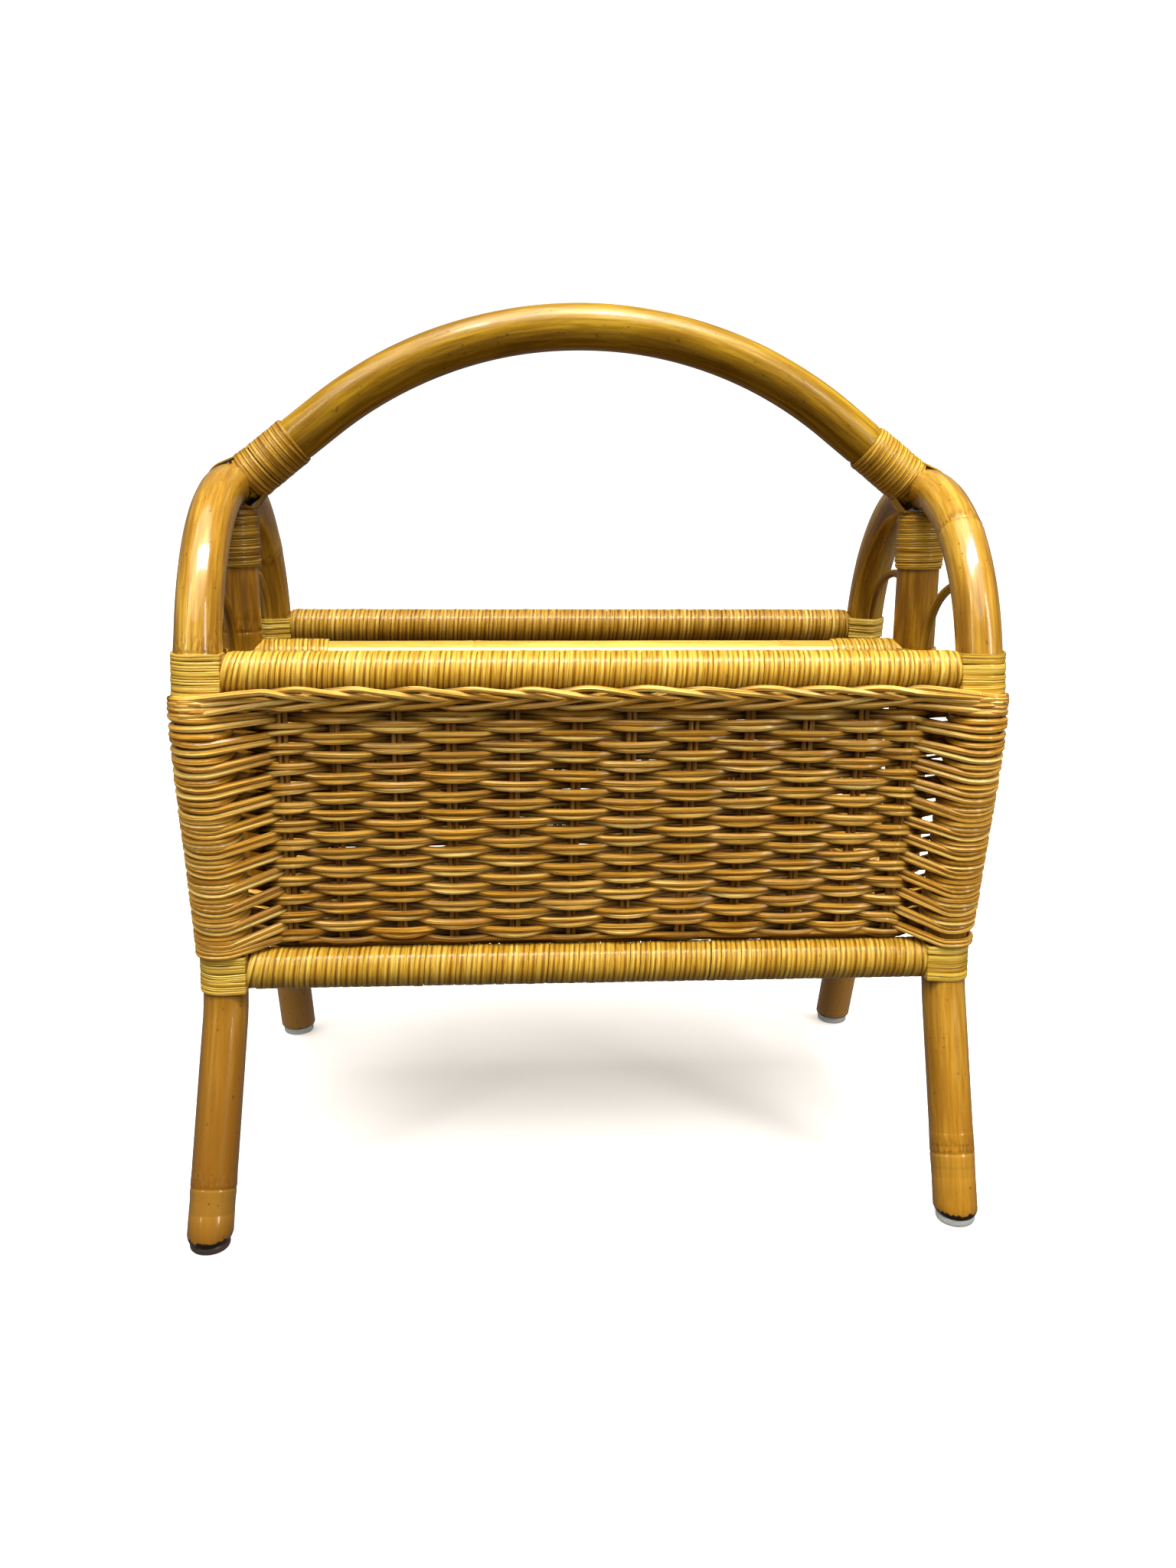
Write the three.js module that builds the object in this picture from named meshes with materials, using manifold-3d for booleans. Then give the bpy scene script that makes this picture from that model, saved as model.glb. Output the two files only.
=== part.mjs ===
// A magazine basket of bent rattan poles, woven wicker panels and flat cane lashings.
// Millimetres, +Z up, X to the right, Y to the back, origin on the floor below the middle.

import * as THREE from 'three';
import { mergeVertices } from 'three/addons/utils/BufferGeometryUtils.js';
import Module from 'manifold-3d';

const wasm = await Module();
wasm.setup();

// Fits
const gap = 0.3;
const overrun = 4;

// Side frames: one bent pole each, foot, leg, bend, leaning side, round arch and back down
const frameWidth = 400;
const poleRadius = 12;
const archRadius = 112;
const archCentreDrop = 20;
const basketLean = THREE.MathUtils.degToRad(11.3);
const legLean = THREE.MathUtils.degToRad(21.3);
const bendHeight = 136;
const bendRadius = 90;

// Centre posts and the carrying handle
const postRadius = 12.25;
const handleRadius = 12.75;
const handleNeckRadius = 11;
const handleStraight = 68;
const handleSeatSink = 3;
const handleSlope = THREE.MathUtils.degToRad(37.5);

// Rails
const railRadius = 10;
const basketHeight = 165;
const middleRailRadius = 10.3;
const middleRailDrop = 7;
const crossRailRadius = 9;

// Cane: long rail windings, straps and corner ties
const railCane = 0.9;
const tieCane = 1.2;
const frontTieHeight = 21.6;
const rearTieHeight = 13.5;
const bottomTieHeight = 20.5;
const postTieHeight = 13.5;
const strapCane = 1.2;
const strapWidth = 15;
const strapShoulder = 12.8;

// Cane coils at the handle's ends, the posts' tops and the middle rail's ends
const coilCane = 1.1;
const coilGap = 0.5;
const handleCoil = { turns: 10, pitch: 3.4 };
const postCoil = { turns: 9, pitch: 4 };
const middleCoil = { turns: 7, pitch: 4.8 };

// Side loops of thin rod between post and pole
const loopRodRadius = 3;
const loopCrownRise = 40;
const loopFootDrop = 15;
const loopRunShares = [0, 0.06, 0.15, 0.25, 0.36, 0.49, 0.62, 0.79, 0.905, 0.965, 1, 1];
const loopRiseShares = [0, 0.2, 0.42, 0.68, 0.88, 1, 0.965, 0.8, 0.62, 0.42, 0.15, 0];

// Woven panels and their stakes
const weaveThickness = 8.2;
const weaveRelief = 1.9;
const weaveRowPitch = 5.45;
const weaveTopDrop = 16.5;
const weaveCornerRadius = 10;
const sleeveThickness = 2.5;
const sleeveTieGap = 2.6;
const stakeThickness = 2.8;
const stakeWidth = 6;
const stakeEdge = 37.75;
const stakeCount = 12;

// Braided border under the top rails
const braidHeight = 13;
const braidOuterDepth = 14;
const braidInnerDepth = 4;
const braidEdge = 3;

// Glides under the feet
const glideHeight = 4.5;
const glideRadius = 10.5;
const glideFlatRadius = 6.5;
const glideShoulderRadius = 9.4;

// Facets
const poleSides = 10;
const poleSteps = 42;
const handleSteps = 24;
const rodSides = 6;
const rodSteps = 16;
const stretchPoints = 14;
const sleeveSteps = 4;
const coilSteps = 10;
const arcSag = 0.28;
const glideSides = 12;
const halvings = 48;

// Materials
const finish = (color, roughness) => new THREE.MeshStandardMaterial({ color, roughness, metalness: 0 });
const poleFinish = finish(0xc98a3c, 0.3);
const handleFinish = finish(0xb9772f, 0.3);
const caneFinish = finish(0xe0b456, 0.4);
const wickerFinish = finish(0xb98a3a, 0.45);
const stakeFinish = finish(0x7d5a2c, 0.55);
const glideFinish = finish(0xd8d4c8, 0.35);

// Solids from closed geometries, and back
function solid(geometry) {
  const bare = geometry.clone();
  bare.deleteAttribute('normal');
  bare.deleteAttribute('uv');
  const merged = mergeVertices(bare);
  return new wasm.Manifold(new wasm.Mesh({
    numProp: 3,
    vertProperties: new Float32Array(merged.attributes.position.array),
    triVerts: new Uint32Array(merged.index.array),
  }));
}

function geometryOf(body) {
  const mesh = body.getMesh();
  const geometry = new THREE.BufferGeometry();
  geometry.setAttribute('position', new THREE.BufferAttribute(new Float32Array(mesh.vertProperties), 3));
  geometry.setIndex(new THREE.BufferAttribute(new Uint32Array(mesh.triVerts), 1));
  geometry.computeVertexNormals();
  return geometry;
}

function join(first, ...rest) {
  return geometryOf(rest.reduce((body, other) => body.add(solid(other)), solid(first)));
}

function cut(first, ...rest) {
  return geometryOf(rest.reduce((body, other) => body.subtract(solid(other)), solid(first)));
}

// Outlines
function polygon(radius, sides = poleSides) {
  const corners = [];
  for (let i = 0; i < sides; i += 1) {
    const angle = (i / sides) * Math.PI * 2;
    corners.push(new THREE.Vector2(radius * Math.cos(angle), radius * Math.sin(angle)));
  }
  return new THREE.Shape(corners);
}

function circlePoints(x, y, radius) {
  return polygon(radius).getPoints().map((p) => new THREE.Vector2(p.x + x, p.y + y));
}

// The convex outline around a set of points, counter-clockwise
function hull(points) {
  const sorted = [...points].sort((a, b) => a.x - b.x || a.y - b.y);
  const turn = (o, a, b) => (a.x - o.x) * (b.y - o.y) - (a.y - o.y) * (b.x - o.x);
  const half = (list) => {
    const chain = [];
    for (const point of list) {
      while (chain.length > 1 && turn(chain.at(-2), chain.at(-1), point) <= 0) chain.pop();
      chain.push(point);
    }
    chain.pop();
    return chain;
  };
  return [...half(sorted), ...half(sorted.reverse())];
}

// Outlines drawn in a plane and pulled along the third axis, centred on zero there
function alongX(shape, length) {
  const geometry = new THREE.ExtrudeGeometry(shape, { depth: length, bevelEnabled: false });
  geometry.translate(0, 0, -length / 2);
  const axes = [new THREE.Vector3(0, 1, 0), new THREE.Vector3(0, 0, 1), new THREE.Vector3(1, 0, 0)];
  return geometry.applyMatrix4(new THREE.Matrix4().makeBasis(...axes));
}

function alongY(shape, length) {
  const geometry = new THREE.ExtrudeGeometry(shape, { depth: length, bevelEnabled: false });
  geometry.translate(0, 0, -length / 2);
  const axes = [new THREE.Vector3(1, 0, 0), new THREE.Vector3(0, 0, 1), new THREE.Vector3(0, -1, 0)];
  return geometry.applyMatrix4(new THREE.Matrix4().makeBasis(...axes));
}

function alongZ(shape, length) {
  const geometry = new THREE.ExtrudeGeometry(shape, { depth: length, bevelEnabled: false });
  return geometry.translate(0, 0, -length / 2);
}

// A flat path lifted into space
class PlacedPath extends THREE.Curve {
  constructor(path, place) {
    super();
    this.path = path;
    this.place = place;
  }

  getPoint(t, target = new THREE.Vector3()) {
    return target.copy(this.place(this.path.getPoint(t)));
  }
}

function tube(curve, radius, steps, sides = poleSides) {
  const options = { steps, extrudePath: curve, bevelEnabled: false };
  return new THREE.ExtrudeGeometry(polygon(radius, sides), options);
}

// Side pole: its centre line in the (Y, Z) plane, from the front foot to the rear foot
const topRailHeight = bendHeight + basketHeight;
const archCentreHeight = topRailHeight - archCentreDrop;
const tangentY = archRadius * Math.cos(basketLean);
const tangentHeight = archCentreHeight - archRadius * Math.sin(basketLean);
const bendY = tangentY - (tangentHeight - bendHeight) * Math.tan(basketLean);
const footY = bendY + bendHeight * Math.tan(legLean);
const bendReach = bendRadius * Math.tan((basketLean + legLean) / 2);
const bendCentreY = bendY + bendReach * Math.sin(basketLean) + bendRadius * Math.cos(basketLean);
const bendCentreHeight = bendHeight + bendReach * Math.cos(basketLean) - bendRadius * Math.sin(basketLean);

function polePath() {
  const path = new THREE.Path();
  const sunkY = footY + overrun * Math.tan(legLean);
  path.moveTo(-sunkY, -overrun);
  const bendFoot = bendCentreHeight - bendRadius * Math.sin(legLean);
  path.lineTo(bendRadius * Math.cos(legLean) - bendCentreY, bendFoot);
  path.absarc(-bendCentreY, bendCentreHeight, bendRadius, -legLean, basketLean, false);
  path.absarc(0, archCentreHeight, archRadius, Math.PI + basketLean, -basketLean, true);
  path.absarc(bendCentreY, bendCentreHeight, bendRadius, Math.PI - basketLean, Math.PI + legLean, false);
  path.lineTo(sunkY, -overrun);
  return path;
}

const sidePath = polePath();

// Distance of the pole's centre line from the middle plane at a height, by halving
function poleY(height) {
  let t = 0;
  for (let i = 0; i < halvings; i += 1) {
    const step = 1 / 2 ** (i + 2);
    if (sidePath.getPoint(t + step).y < height) t += step;
  }
  return -sidePath.getPoint(t).x;
}

function sidePole(x, radius) {
  const curve = new PlacedPath(sidePath, (p) => new THREE.Vector3(x, p.x, p.y));
  return tube(curve, radius, poleSteps);
}

// A stretch of a side pole between two heights; facing is -1 at the front and 1 at the back
function poleStretch(x, facing, low, high, radius) {
  const points = [];
  for (let i = 0; i <= stretchPoints; i += 1) {
    const height = THREE.MathUtils.lerp(low, high, i / stretchPoints);
    points.push(new THREE.Vector3(x, facing * poleY(height), height));
  }
  return tube(new THREE.CatmullRomCurve3(points), radius, sleeveSteps);
}

const sideX = frameWidth / 2;
const clearPole = (x) => sidePole(x, poleRadius + gap);
const clearPoles = [clearPole(-sideX), clearPole(sideX)];
const sides = [['left', -sideX], ['right', sideX]];
const facings = [['front', -1], ['rear', 1]];

const basket = new THREE.Group();

function add(name, geometry, material) {
  const mesh = new THREE.Mesh(geometry, material);
  mesh.name = name;
  basket.add(mesh);
  return mesh;
}

// Side arches, their feet cut level above the glides
function makeSideArches() {
  const floorSize = footY * 2 + frameWidth;
  const floor = new THREE.BoxGeometry(floorSize, floorSize, floorSize);
  floor.translate(0, 0, glideHeight + gap - floorSize / 2);
  for (const [side, x] of sides) {
    add(`side_arch_${side}`, cut(sidePole(x, poleRadius), floor), poleFinish);
  }
}

// Glides: low plastic domes with a flat to stand on
function makeGlides() {
  const profile = [
    new THREE.Vector2(0, 0),
    new THREE.Vector2(glideFlatRadius, 0),
    new THREE.Vector2(glideShoulderRadius, glideHeight / 3),
    new THREE.Vector2(glideRadius, glideHeight * 2 / 3),
    new THREE.Vector2(glideRadius, glideHeight),
    new THREE.Vector2(0, glideHeight),
  ];
  for (const [facingName, facing] of facings) {
    for (const [side, x] of sides) {
      const geometry = new THREE.LatheGeometry(profile, glideSides).rotateX(Math.PI / 2);
      const glide = add(`glide_${facingName}_${side}`, geometry, glideFinish);
      glide.position.set(x, facing * poleY(glideHeight + gap), 0);
    }
  }
}

// Woven shell: its centre lines in the (Y, Z) plane, down the front, along the base, up the back
const windingRadius = railRadius + gap + railCane;
const weaveTopHeight = topRailHeight - weaveTopDrop;
const baseHeight = bendHeight + windingRadius + gap + weaveThickness / 2;
const baseCornerY = tangentY - (tangentHeight - baseHeight) * Math.tan(basketLean);
const cornerReach = weaveCornerRadius * Math.tan((Math.PI / 2 - basketLean) / 2);
const cornerCentreY = baseCornerY - cornerReach;
const cornerCentreHeight = baseHeight + weaveCornerRadius;
const sleeveRadius = poleRadius + gap + sleeveThickness;
const baseHalfDepth = baseCornerY - sleeveRadius - gap * 2;

const shellRise = (top) => Math.asin((top - archCentreHeight) / archRadius);

function downFront(path, top) {
  path.absarc(0, archCentreHeight, archRadius, Math.PI - shellRise(top), Math.PI + basketLean, false);
  path.absarc(-cornerCentreY, cornerCentreHeight, weaveCornerRadius,
    Math.PI + basketLean, Math.PI * 3 / 2, false);
  return path;
}

function upRear(path, top) {
  path.lineTo(cornerCentreY, baseHeight);
  path.absarc(cornerCentreY, cornerCentreHeight, weaveCornerRadius, -Math.PI / 2, -basketLean, false);
  path.absarc(0, archCentreHeight, archRadius, -basketLean, shellRise(top), false);
  return path;
}

const stakeTop = weaveTopHeight + gap;
const stakePath = upRear(downFront(new THREE.Path(), stakeTop), stakeTop);
const basePath = new THREE.Path().moveTo(-baseHalfDepth, baseHeight).lineTo(baseHalfDepth, baseHeight);
const panelPath = downFront(new THREE.Path(), weaveTopHeight).lineTo(-baseHalfDepth - gap, baseHeight);

// A band of even thickness along a flat path, as an outline
function band(path, thickness) {
  const corners = path.curves.flatMap((curve) => {
    const turn = curve.isEllipseCurve ? Math.abs(curve.aEndAngle - curve.aStartAngle) : 0;
    const facetTurn = 2 * Math.acos(1 - arcSag / (curve.xRadius ?? archRadius));
    return curve.getPoints(Math.max(1, Math.ceil(turn / facetTurn)));
  });
  const points = corners.filter((point, i) => i === 0 || point.distanceTo(corners[i - 1]) > gap);
  const offset = (amount) => points.map((point, i) => {
    const before = points[Math.max(i - 1, 0)];
    const after = points[Math.min(i + 1, points.length - 1)];
    const ahead = after.clone().sub(point).normalize();
    const behind = point.clone().sub(before).normalize();
    const along = ahead.add(behind).normalize();
    const mitre = along.dot(i === 0 ? ahead : behind);
    const normal = new THREE.Vector2(-along.y, along.x);
    return point.clone().addScaledVector(normal, amount / mitre);
  });
  return new THREE.Shape([...offset(-thickness / 2), ...offset(thickness / 2).reverse()]);
}

const stakeSpacing = (frameWidth - stakeEdge * 2) / (stakeCount - 1);
const stakeX = (i) => (i - (stakeCount - 1) / 2) * stakeSpacing;

function stake(i, clearance) {
  const shape = band(stakePath, stakeThickness + clearance * 2);
  return alongX(shape, stakeWidth + clearance * 2).translate(stakeX(i), 0, 0);
}

function makeStakes() {
  for (let i = 0; i < stakeCount; i += 1) {
    add(`stake_${String(i + 1).padStart(2, '0')}`, stake(i, 0), stakeFinish);
  }
}

// Woven sheet down a path: a row is a crest where it passes outside a stake, a hollow where it passes
// inside. Each square folds between its two hollows, so that every crest stands by itself.
function wovenSheet(path) {
  const rows = Math.round(path.getLength() / weaveRowPitch);
  const columns = [-sideX, ...Array.from({ length: stakeCount }, (unused, i) => stakeX(i)), sideX];
  const last = columns.length - 1;
  const isCrest = (face, row, column) => (row + column) % 2 === (face > 0 ? 1 : 0);
  const corner = (face, row, column) => ((face > 0 ? 0 : rows + 1) + row) * columns.length + column;
  const positions = [];
  for (const face of [1, -1]) {
    for (let row = 0; row <= rows; row += 1) {
      const point = path.getPoint(row / rows);
      const along = path.getTangent(row / rows);
      columns.forEach((x, column) => {
        const crest = column % last === 0 ? weaveRelief / 2 : weaveRelief * isCrest(face, row, column);
        const out = face * (weaveThickness / 2 - weaveRelief + crest);
        positions.push(x, point.x + out * along.y, point.y - out * along.x);
      });
    }
  }
  const index = [];
  const quad = (a, b, c, d) => index.push(a, b, c, a, c, d);
  for (let row = 0; row < rows; row += 1) {
    for (let column = 0; column < last; column += 1) {
      for (const face of [1, -1]) {
        const [a, b, c, d] = [[row, column], [row + 1, column], [row + 1, column + 1], [row, column + 1]]
          .map((place) => corner(face, ...place));
        const ring = isCrest(face, row, column) ? [b, c, d, a] : [a, b, c, d];
        quad(...(face > 0 ? ring : [ring[0], ring[3], ring[2], ring[1]]));
      }
    }
  }
  for (let column = 0; column < last; column += 1) {
    quad(corner(1, 0, column), corner(1, 0, column + 1), corner(-1, 0, column + 1), corner(-1, 0, column));
    quad(corner(1, rows, column + 1), corner(1, rows, column), corner(-1, rows, column),
      corner(-1, rows, column + 1));
  }
  for (let row = 0; row < rows; row += 1) {
    quad(corner(1, row, 0), corner(-1, row, 0), corner(-1, row + 1, 0), corner(1, row + 1, 0));
    quad(corner(1, row, last), corner(1, row + 1, last), corner(-1, row + 1, last), corner(-1, row, last));
  }
  return indexed(positions, index);
}

function indexed(positions, index) {
  const geometry = new THREE.BufferGeometry();
  geometry.setAttribute('position', new THREE.Float32BufferAttribute(positions, 3));
  geometry.setIndex(index);
  geometry.computeVertexNormals();
  return geometry;
}

// Bottom cross rails, level with the woven base and coped against the poles
function crossRail(x, clearance) {
  const rail = alongY(polygon(crossRailRadius + clearance), baseCornerY * 2);
  return rail.translate(x, 0, baseHeight);
}

// Posts from the cross rails to just under the arches
const archTopHeight = archCentreHeight + archRadius;
const archUnderside = archTopHeight - poleRadius;
const postTop = archUnderside - gap * 2 - strapCane;
const postFoot = baseHeight + crossRailRadius + gap;
const middleCoilStart = sideX - postRadius - gap * 2;

function post(x, clearance) {
  const length = postTop - postFoot + clearance * 2;
  return alongZ(polygon(postRadius + clearance), length).translate(x, 0, (postTop + postFoot) / 2);
}

const clearPosts = sides.map(([, x]) => post(x, gap));
const clearCrossRails = sides.map(([, x]) => crossRail(x, gap));

function makePostsAndCrossRails() {
  for (const [side, x] of sides) {
    add(`center_post_${side}`, post(x, 0), poleFinish);
    add(`bottom_cross_rail_${side}`, cut(crossRail(x, 0), ...clearPoles), poleFinish);
  }
}

// Rails between the side frames, coped against the poles or posts
function straightRail(y, z, radius) {
  return alongX(polygon(radius), frameWidth).translate(0, y, z);
}

const topRailY = poleY(topRailHeight);
const bottomRailY = poleY(bendHeight);
const middleRailHeight = topRailHeight - middleRailDrop;

function makeRails() {
  for (const [facingName, facing] of facings) {
    const top = straightRail(facing * topRailY, topRailHeight, railRadius);
    add(`${facingName}_top_rail`, cut(top, ...clearPoles), poleFinish);
    const bottom = straightRail(facing * bottomRailY, bendHeight, railRadius);
    add(`${facingName}_bottom_rail`, cut(bottom, ...clearPoles), poleFinish);
  }
  add('middle_rail', cut(straightRail(0, middleRailHeight, middleRailRadius), ...clearPosts), poleFinish);
}

// Close windings along the four rails, each a thin sleeve of flat cane
const windingHalfLength = sideX - poleRadius - gap * 2;

function windingSleeve(y, z) {
  const ring = polygon(windingRadius);
  ring.holes.push(polygon(railRadius + gap));
  return alongX(ring, windingHalfLength * 2).translate(0, y, z);
}

function clearWinding(y, z) {
  return alongX(polygon(windingRadius + gap), (windingHalfLength + gap) * 2).translate(0, y, z);
}

function makeRailWindings() {
  for (const [facingName, facing] of facings) {
    add(`${facingName}_top_winding`, windingSleeve(facing * topRailY, topRailHeight), caneFinish);
    add(`${facingName}_bottom_winding`, windingSleeve(facing * bottomRailY, bendHeight), caneFinish);
  }
}

// Woven front, back and base, with the sleeves that the weave makes round poles and cross rails
const sleeveLow = bendHeight + bottomTieHeight / 2 + sleeveTieGap;
const sleeveHigh = topRailHeight - frontTieHeight / 2 - sleeveTieGap;

function makeWeave() {
  const stakeCutters = Array.from({ length: stakeCount }, (unused, i) => stake(i, gap));
  for (const [facingName, facing] of facings) {
    const sleeves = sides.map(([, x]) => poleStretch(x, facing, sleeveLow, sleeveHigh, sleeveRadius));
    const woven = join(wovenSheet(panelPath).rotateZ(facing < 0 ? 0 : Math.PI), ...sleeves);
    const opened = cut(woven, ...clearPoles, ...clearCrossRails, ...stakeCutters);
    add(`${facingName}_weave`, opened, wickerFinish);
  }
  const baseSleeve = polygon(crossRailRadius + gap + sleeveThickness);
  const baseSleeves = sides.map(([, x]) => (
    alongY(baseSleeve, (baseHalfDepth - sleeveThickness) * 2).translate(x, 0, baseHeight)
  ));
  const base = join(alongX(band(basePath, weaveThickness), frameWidth), ...baseSleeves);
  const openedBase = cut(base, ...clearPoles, ...clearCrossRails, ...clearPosts, ...stakeCutters);
  add('base_weave', openedBase, wickerFinish);
}

// Braided border, lying against the lower front of each top rail
function makeBraids() {
  const low = weaveTopHeight + gap * 2;
  const high = low + braidHeight;
  const halfLength = sideX - sleeveRadius - gap * 2;
  for (const [facingName, facing] of facings) {
    const outer = facing * (topRailY + braidOuterDepth);
    const inner = facing * (topRailY - braidInnerDepth);
    const outline = hull([
      new THREE.Vector2(inner, low),
      new THREE.Vector2(inner, high),
      new THREE.Vector2(outer - facing * braidEdge, low),
      new THREE.Vector2(outer, low + braidEdge),
      new THREE.Vector2(outer, high - braidEdge),
      new THREE.Vector2(outer - facing * braidEdge, high),
    ]);
    const bar = alongX(new THREE.Shape(outline), halfLength * 2);
    const rail = clearWinding(facing * topRailY, topRailHeight);
    add(`${facingName}_braid`, cut(bar, rail, innerBraidCutter(facing, high)), caneFinish);
  }
}

// Takes away what the top rail would leave on its inner side
function innerBraidCutter(facing, high) {
  const size = (windingRadius + braidHeight) * 2;
  const box = new THREE.BoxGeometry(frameWidth, size, size);
  return box.translate(0, facing * (topRailY - size / 2), high + size / 2 - braidHeight + braidEdge);
}

// Side loops: an inverted U of rod beside the pole at one end and the post at the other
const loopCrownHeight = topRailHeight + loopCrownRise;
const loopFootHeight = topRailHeight - loopFootDrop;
const loopInnerY = postRadius + gap * 2 + loopRodRadius * 2;
const loopOuterY = topRailY - poleRadius - gap - loopRodRadius;

function loop(x, facing, radius) {
  const points = loopRunShares.map((run, i) => new THREE.Vector3(
    x,
    facing * THREE.MathUtils.lerp(loopInnerY, loopOuterY, run),
    THREE.MathUtils.lerp(loopFootHeight, loopCrownHeight, loopRiseShares[i]),
  ));
  return tube(new THREE.CatmullRomCurve3(points), radius, rodSteps, rodSides);
}

function makeLoops() {
  for (const [facingName, facing] of facings) {
    for (const [side, x] of sides) {
      const rod = cut(loop(x, facing, loopRodRadius), clearPole(x));
      add(`side_loop_${facingName}_${side}`, rod, wickerFinish);
    }
  }
}

// The mouth of a tie, where a rail comes in from the middle
function mouth(y, halfWidth) {
  return new THREE.BoxGeometry(frameWidth, halfWidth * 2, archTopHeight * 2).translate(0, y, 0);
}

// Corner ties: cane straps round pole and loop foot, their ends tucked in at the rail's winding.
// A path that climbs along a pole turns its section half round, so the outline is drawn turned.
function cornerTie(x, facing, middle, height, around) {
  const reach = sideX - windingHalfLength - gap;
  const arm = railRadius + gap + tieCane;
  const outline = hull([
    ...circlePoints(0, 0, poleRadius + gap + tieCane),
    ...around,
    new THREE.Vector2(Math.sign(x) * reach, arm),
    new THREE.Vector2(Math.sign(x) * reach, -arm),
  ]);
  const [foot, top] = [middle - height / 2, middle + height / 2]
    .map((level) => new THREE.Vector3(x, facing * poleY(level), level));
  const options = { steps: 1, extrudePath: new THREE.LineCurve3(foot, top), bevelEnabled: false };
  return new THREE.ExtrudeGeometry(new THREE.Shape(outline), options);
}

function makeTopTies() {
  const heights = { front: frontTieHeight, rear: rearTieHeight };
  const footRadius = loopRodRadius + gap + tieCane;
  const footReach = topRailY - loopOuterY;
  for (const [facingName, facing] of facings) {
    for (const [side, x] of sides) {
      const foot = circlePoints(0, facing * footReach, footRadius);
      const ring = cornerTie(x, facing, topRailHeight, heights[facingName], foot);
      const opened = cut(ring, clearPole(x), loop(x, facing, loopRodRadius + gap),
        mouth(facing * topRailY, railRadius + gap));
      add(`tie_top_${facingName}_${side}`, opened, caneFinish);
    }
  }
}

function makeBottomTies() {
  for (const [facingName, facing] of facings) {
    for (const [side, x] of sides) {
      const ring = cornerTie(x, facing, bendHeight, bottomTieHeight, []);
      const opened = cut(ring, clearPole(x), crossRail(x, gap),
        mouth(facing * bottomRailY, railRadius + gap));
      add(`tie_bottom_${facingName}_${side}`, opened, caneFinish);
    }
  }
}

// Post ties: straps round the post and the feet of both loops beside it
function makePostTies() {
  const rod = loopRodRadius + gap + tieCane;
  const reach = middleCoilStart + gap;
  const arm = middleRailRadius + gap + tieCane;
  for (const [side, x] of sides) {
    const outline = hull([
      ...circlePoints(x, 0, postRadius + gap + tieCane),
      ...circlePoints(x, -loopInnerY, rod),
      ...circlePoints(x, loopInnerY, rod),
      new THREE.Vector2(Math.sign(x) * reach, arm),
      new THREE.Vector2(Math.sign(x) * reach, -arm),
    ]);
    const ring = alongZ(new THREE.Shape(outline), postTieHeight).translate(0, 0, middleRailHeight);
    const feet = [-1, 1].map((facing) => loop(x, facing, loopRodRadius + gap));
    const opened = cut(ring, post(x, gap), ...feet, mouth(0, middleRailRadius + gap));
    add(`post_tie_${side}`, opened, caneFinish);
  }
}

// Handle: a round bow with straight ends, thinned where the cane is wound, coped on the arches
const bowEndX = sideX - handleStraight * Math.cos(handleSlope);
const handleBendRadius = bowEndX / Math.sin(handleSlope);
const handleSeatHeight = archTopHeight - handleSeatSink;
const bowEndHeight = handleSeatHeight + handleStraight * Math.sin(handleSlope);
const bowHeight = bowEndHeight - handleBendRadius * Math.cos(handleSlope);
const coilWidth = (coil) => coil.pitch - coilGap;
const handleSeatDrop = handleSeatSink * Math.sin(handleSlope);
const handleCoilStart = handleSeatDrop + poleRadius + gap * 2 + coilWidth(handleCoil) / 2;
const handleNeckLength = handleCoilStart + handleCoil.turns * handleCoil.pitch + coilWidth(handleCoil);

// Point on the handle's straight end, a distance from the arch's centre line; side is -1 or 1
function handlePoint(side, distance) {
  return new THREE.Vector3(
    side * (sideX - distance * Math.cos(handleSlope)),
    0,
    handleSeatHeight + distance * Math.sin(handleSlope),
  );
}

function handleNeck(side, clearance) {
  const line = new THREE.LineCurve3(handlePoint(side, 0), handlePoint(side, handleNeckLength + overrun));
  return tube(line, handleNeckRadius + clearance, 1);
}

function makeHandle() {
  const path = new THREE.Path();
  const start = handlePoint(-1, handleNeckLength);
  const end = handlePoint(1, handleNeckLength);
  path.moveTo(start.x, start.z);
  path.lineTo(-bowEndX, bowEndHeight);
  path.absarc(0, bowHeight, handleBendRadius, Math.PI / 2 + handleSlope, Math.PI / 2 - handleSlope, true);
  path.lineTo(end.x, end.z);
  const curve = new PlacedPath(path, (p) => new THREE.Vector3(p.x, 0, p.y));
  const bow = tube(curve, handleRadius, handleSteps);
  const whole = join(bow, handleNeck(-1, 0), handleNeck(1, 0));
  add('handle', cut(whole, ...clearPoles), handleFinish);
}

// Straps round each arch top: from the handle's end over the pole's outer side and up inside
function makeArchStraps() {
  const low = postTop + gap;
  for (const [side, x] of sides) {
    const sign = Math.sign(x);
    const seat = handlePoint(sign, handleCoilStart - coilWidth(handleCoil) / 2 - gap);
    const across = new THREE.Vector2(sign * Math.sin(handleSlope), Math.cos(handleSlope));
    const loopOutline = (inset) => hull([
      ...circlePoints(x, archTopHeight, poleRadius + gap + strapCane - inset),
      ...[-1, 1].map((way) => new THREE.Vector2(seat.x, seat.z)
        .addScaledVector(across, way * (strapShoulder - inset))),
      ...[-1, 1].map((way) => new THREE.Vector2(
        x + way * (poleRadius + gap + strapCane - inset),
        low + inset,
      )),
    ]);
    const shape = new THREE.Shape(loopOutline(0));
    shape.holes.push(new THREE.Path(loopOutline(strapCane)));
    const strap = cut(alongY(shape, strapWidth), handleNeck(sign, gap), clearPole(x), post(x, gap));
    add(`arch_strap_${side}`, strap, caneFinish);
  }
}

// Coils of flat cane, each one unbroken strip wound round a straight axis
function coilInner(coreRadius) {
  return (coreRadius + gap) / Math.cos(Math.PI / coilSteps);
}

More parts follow.
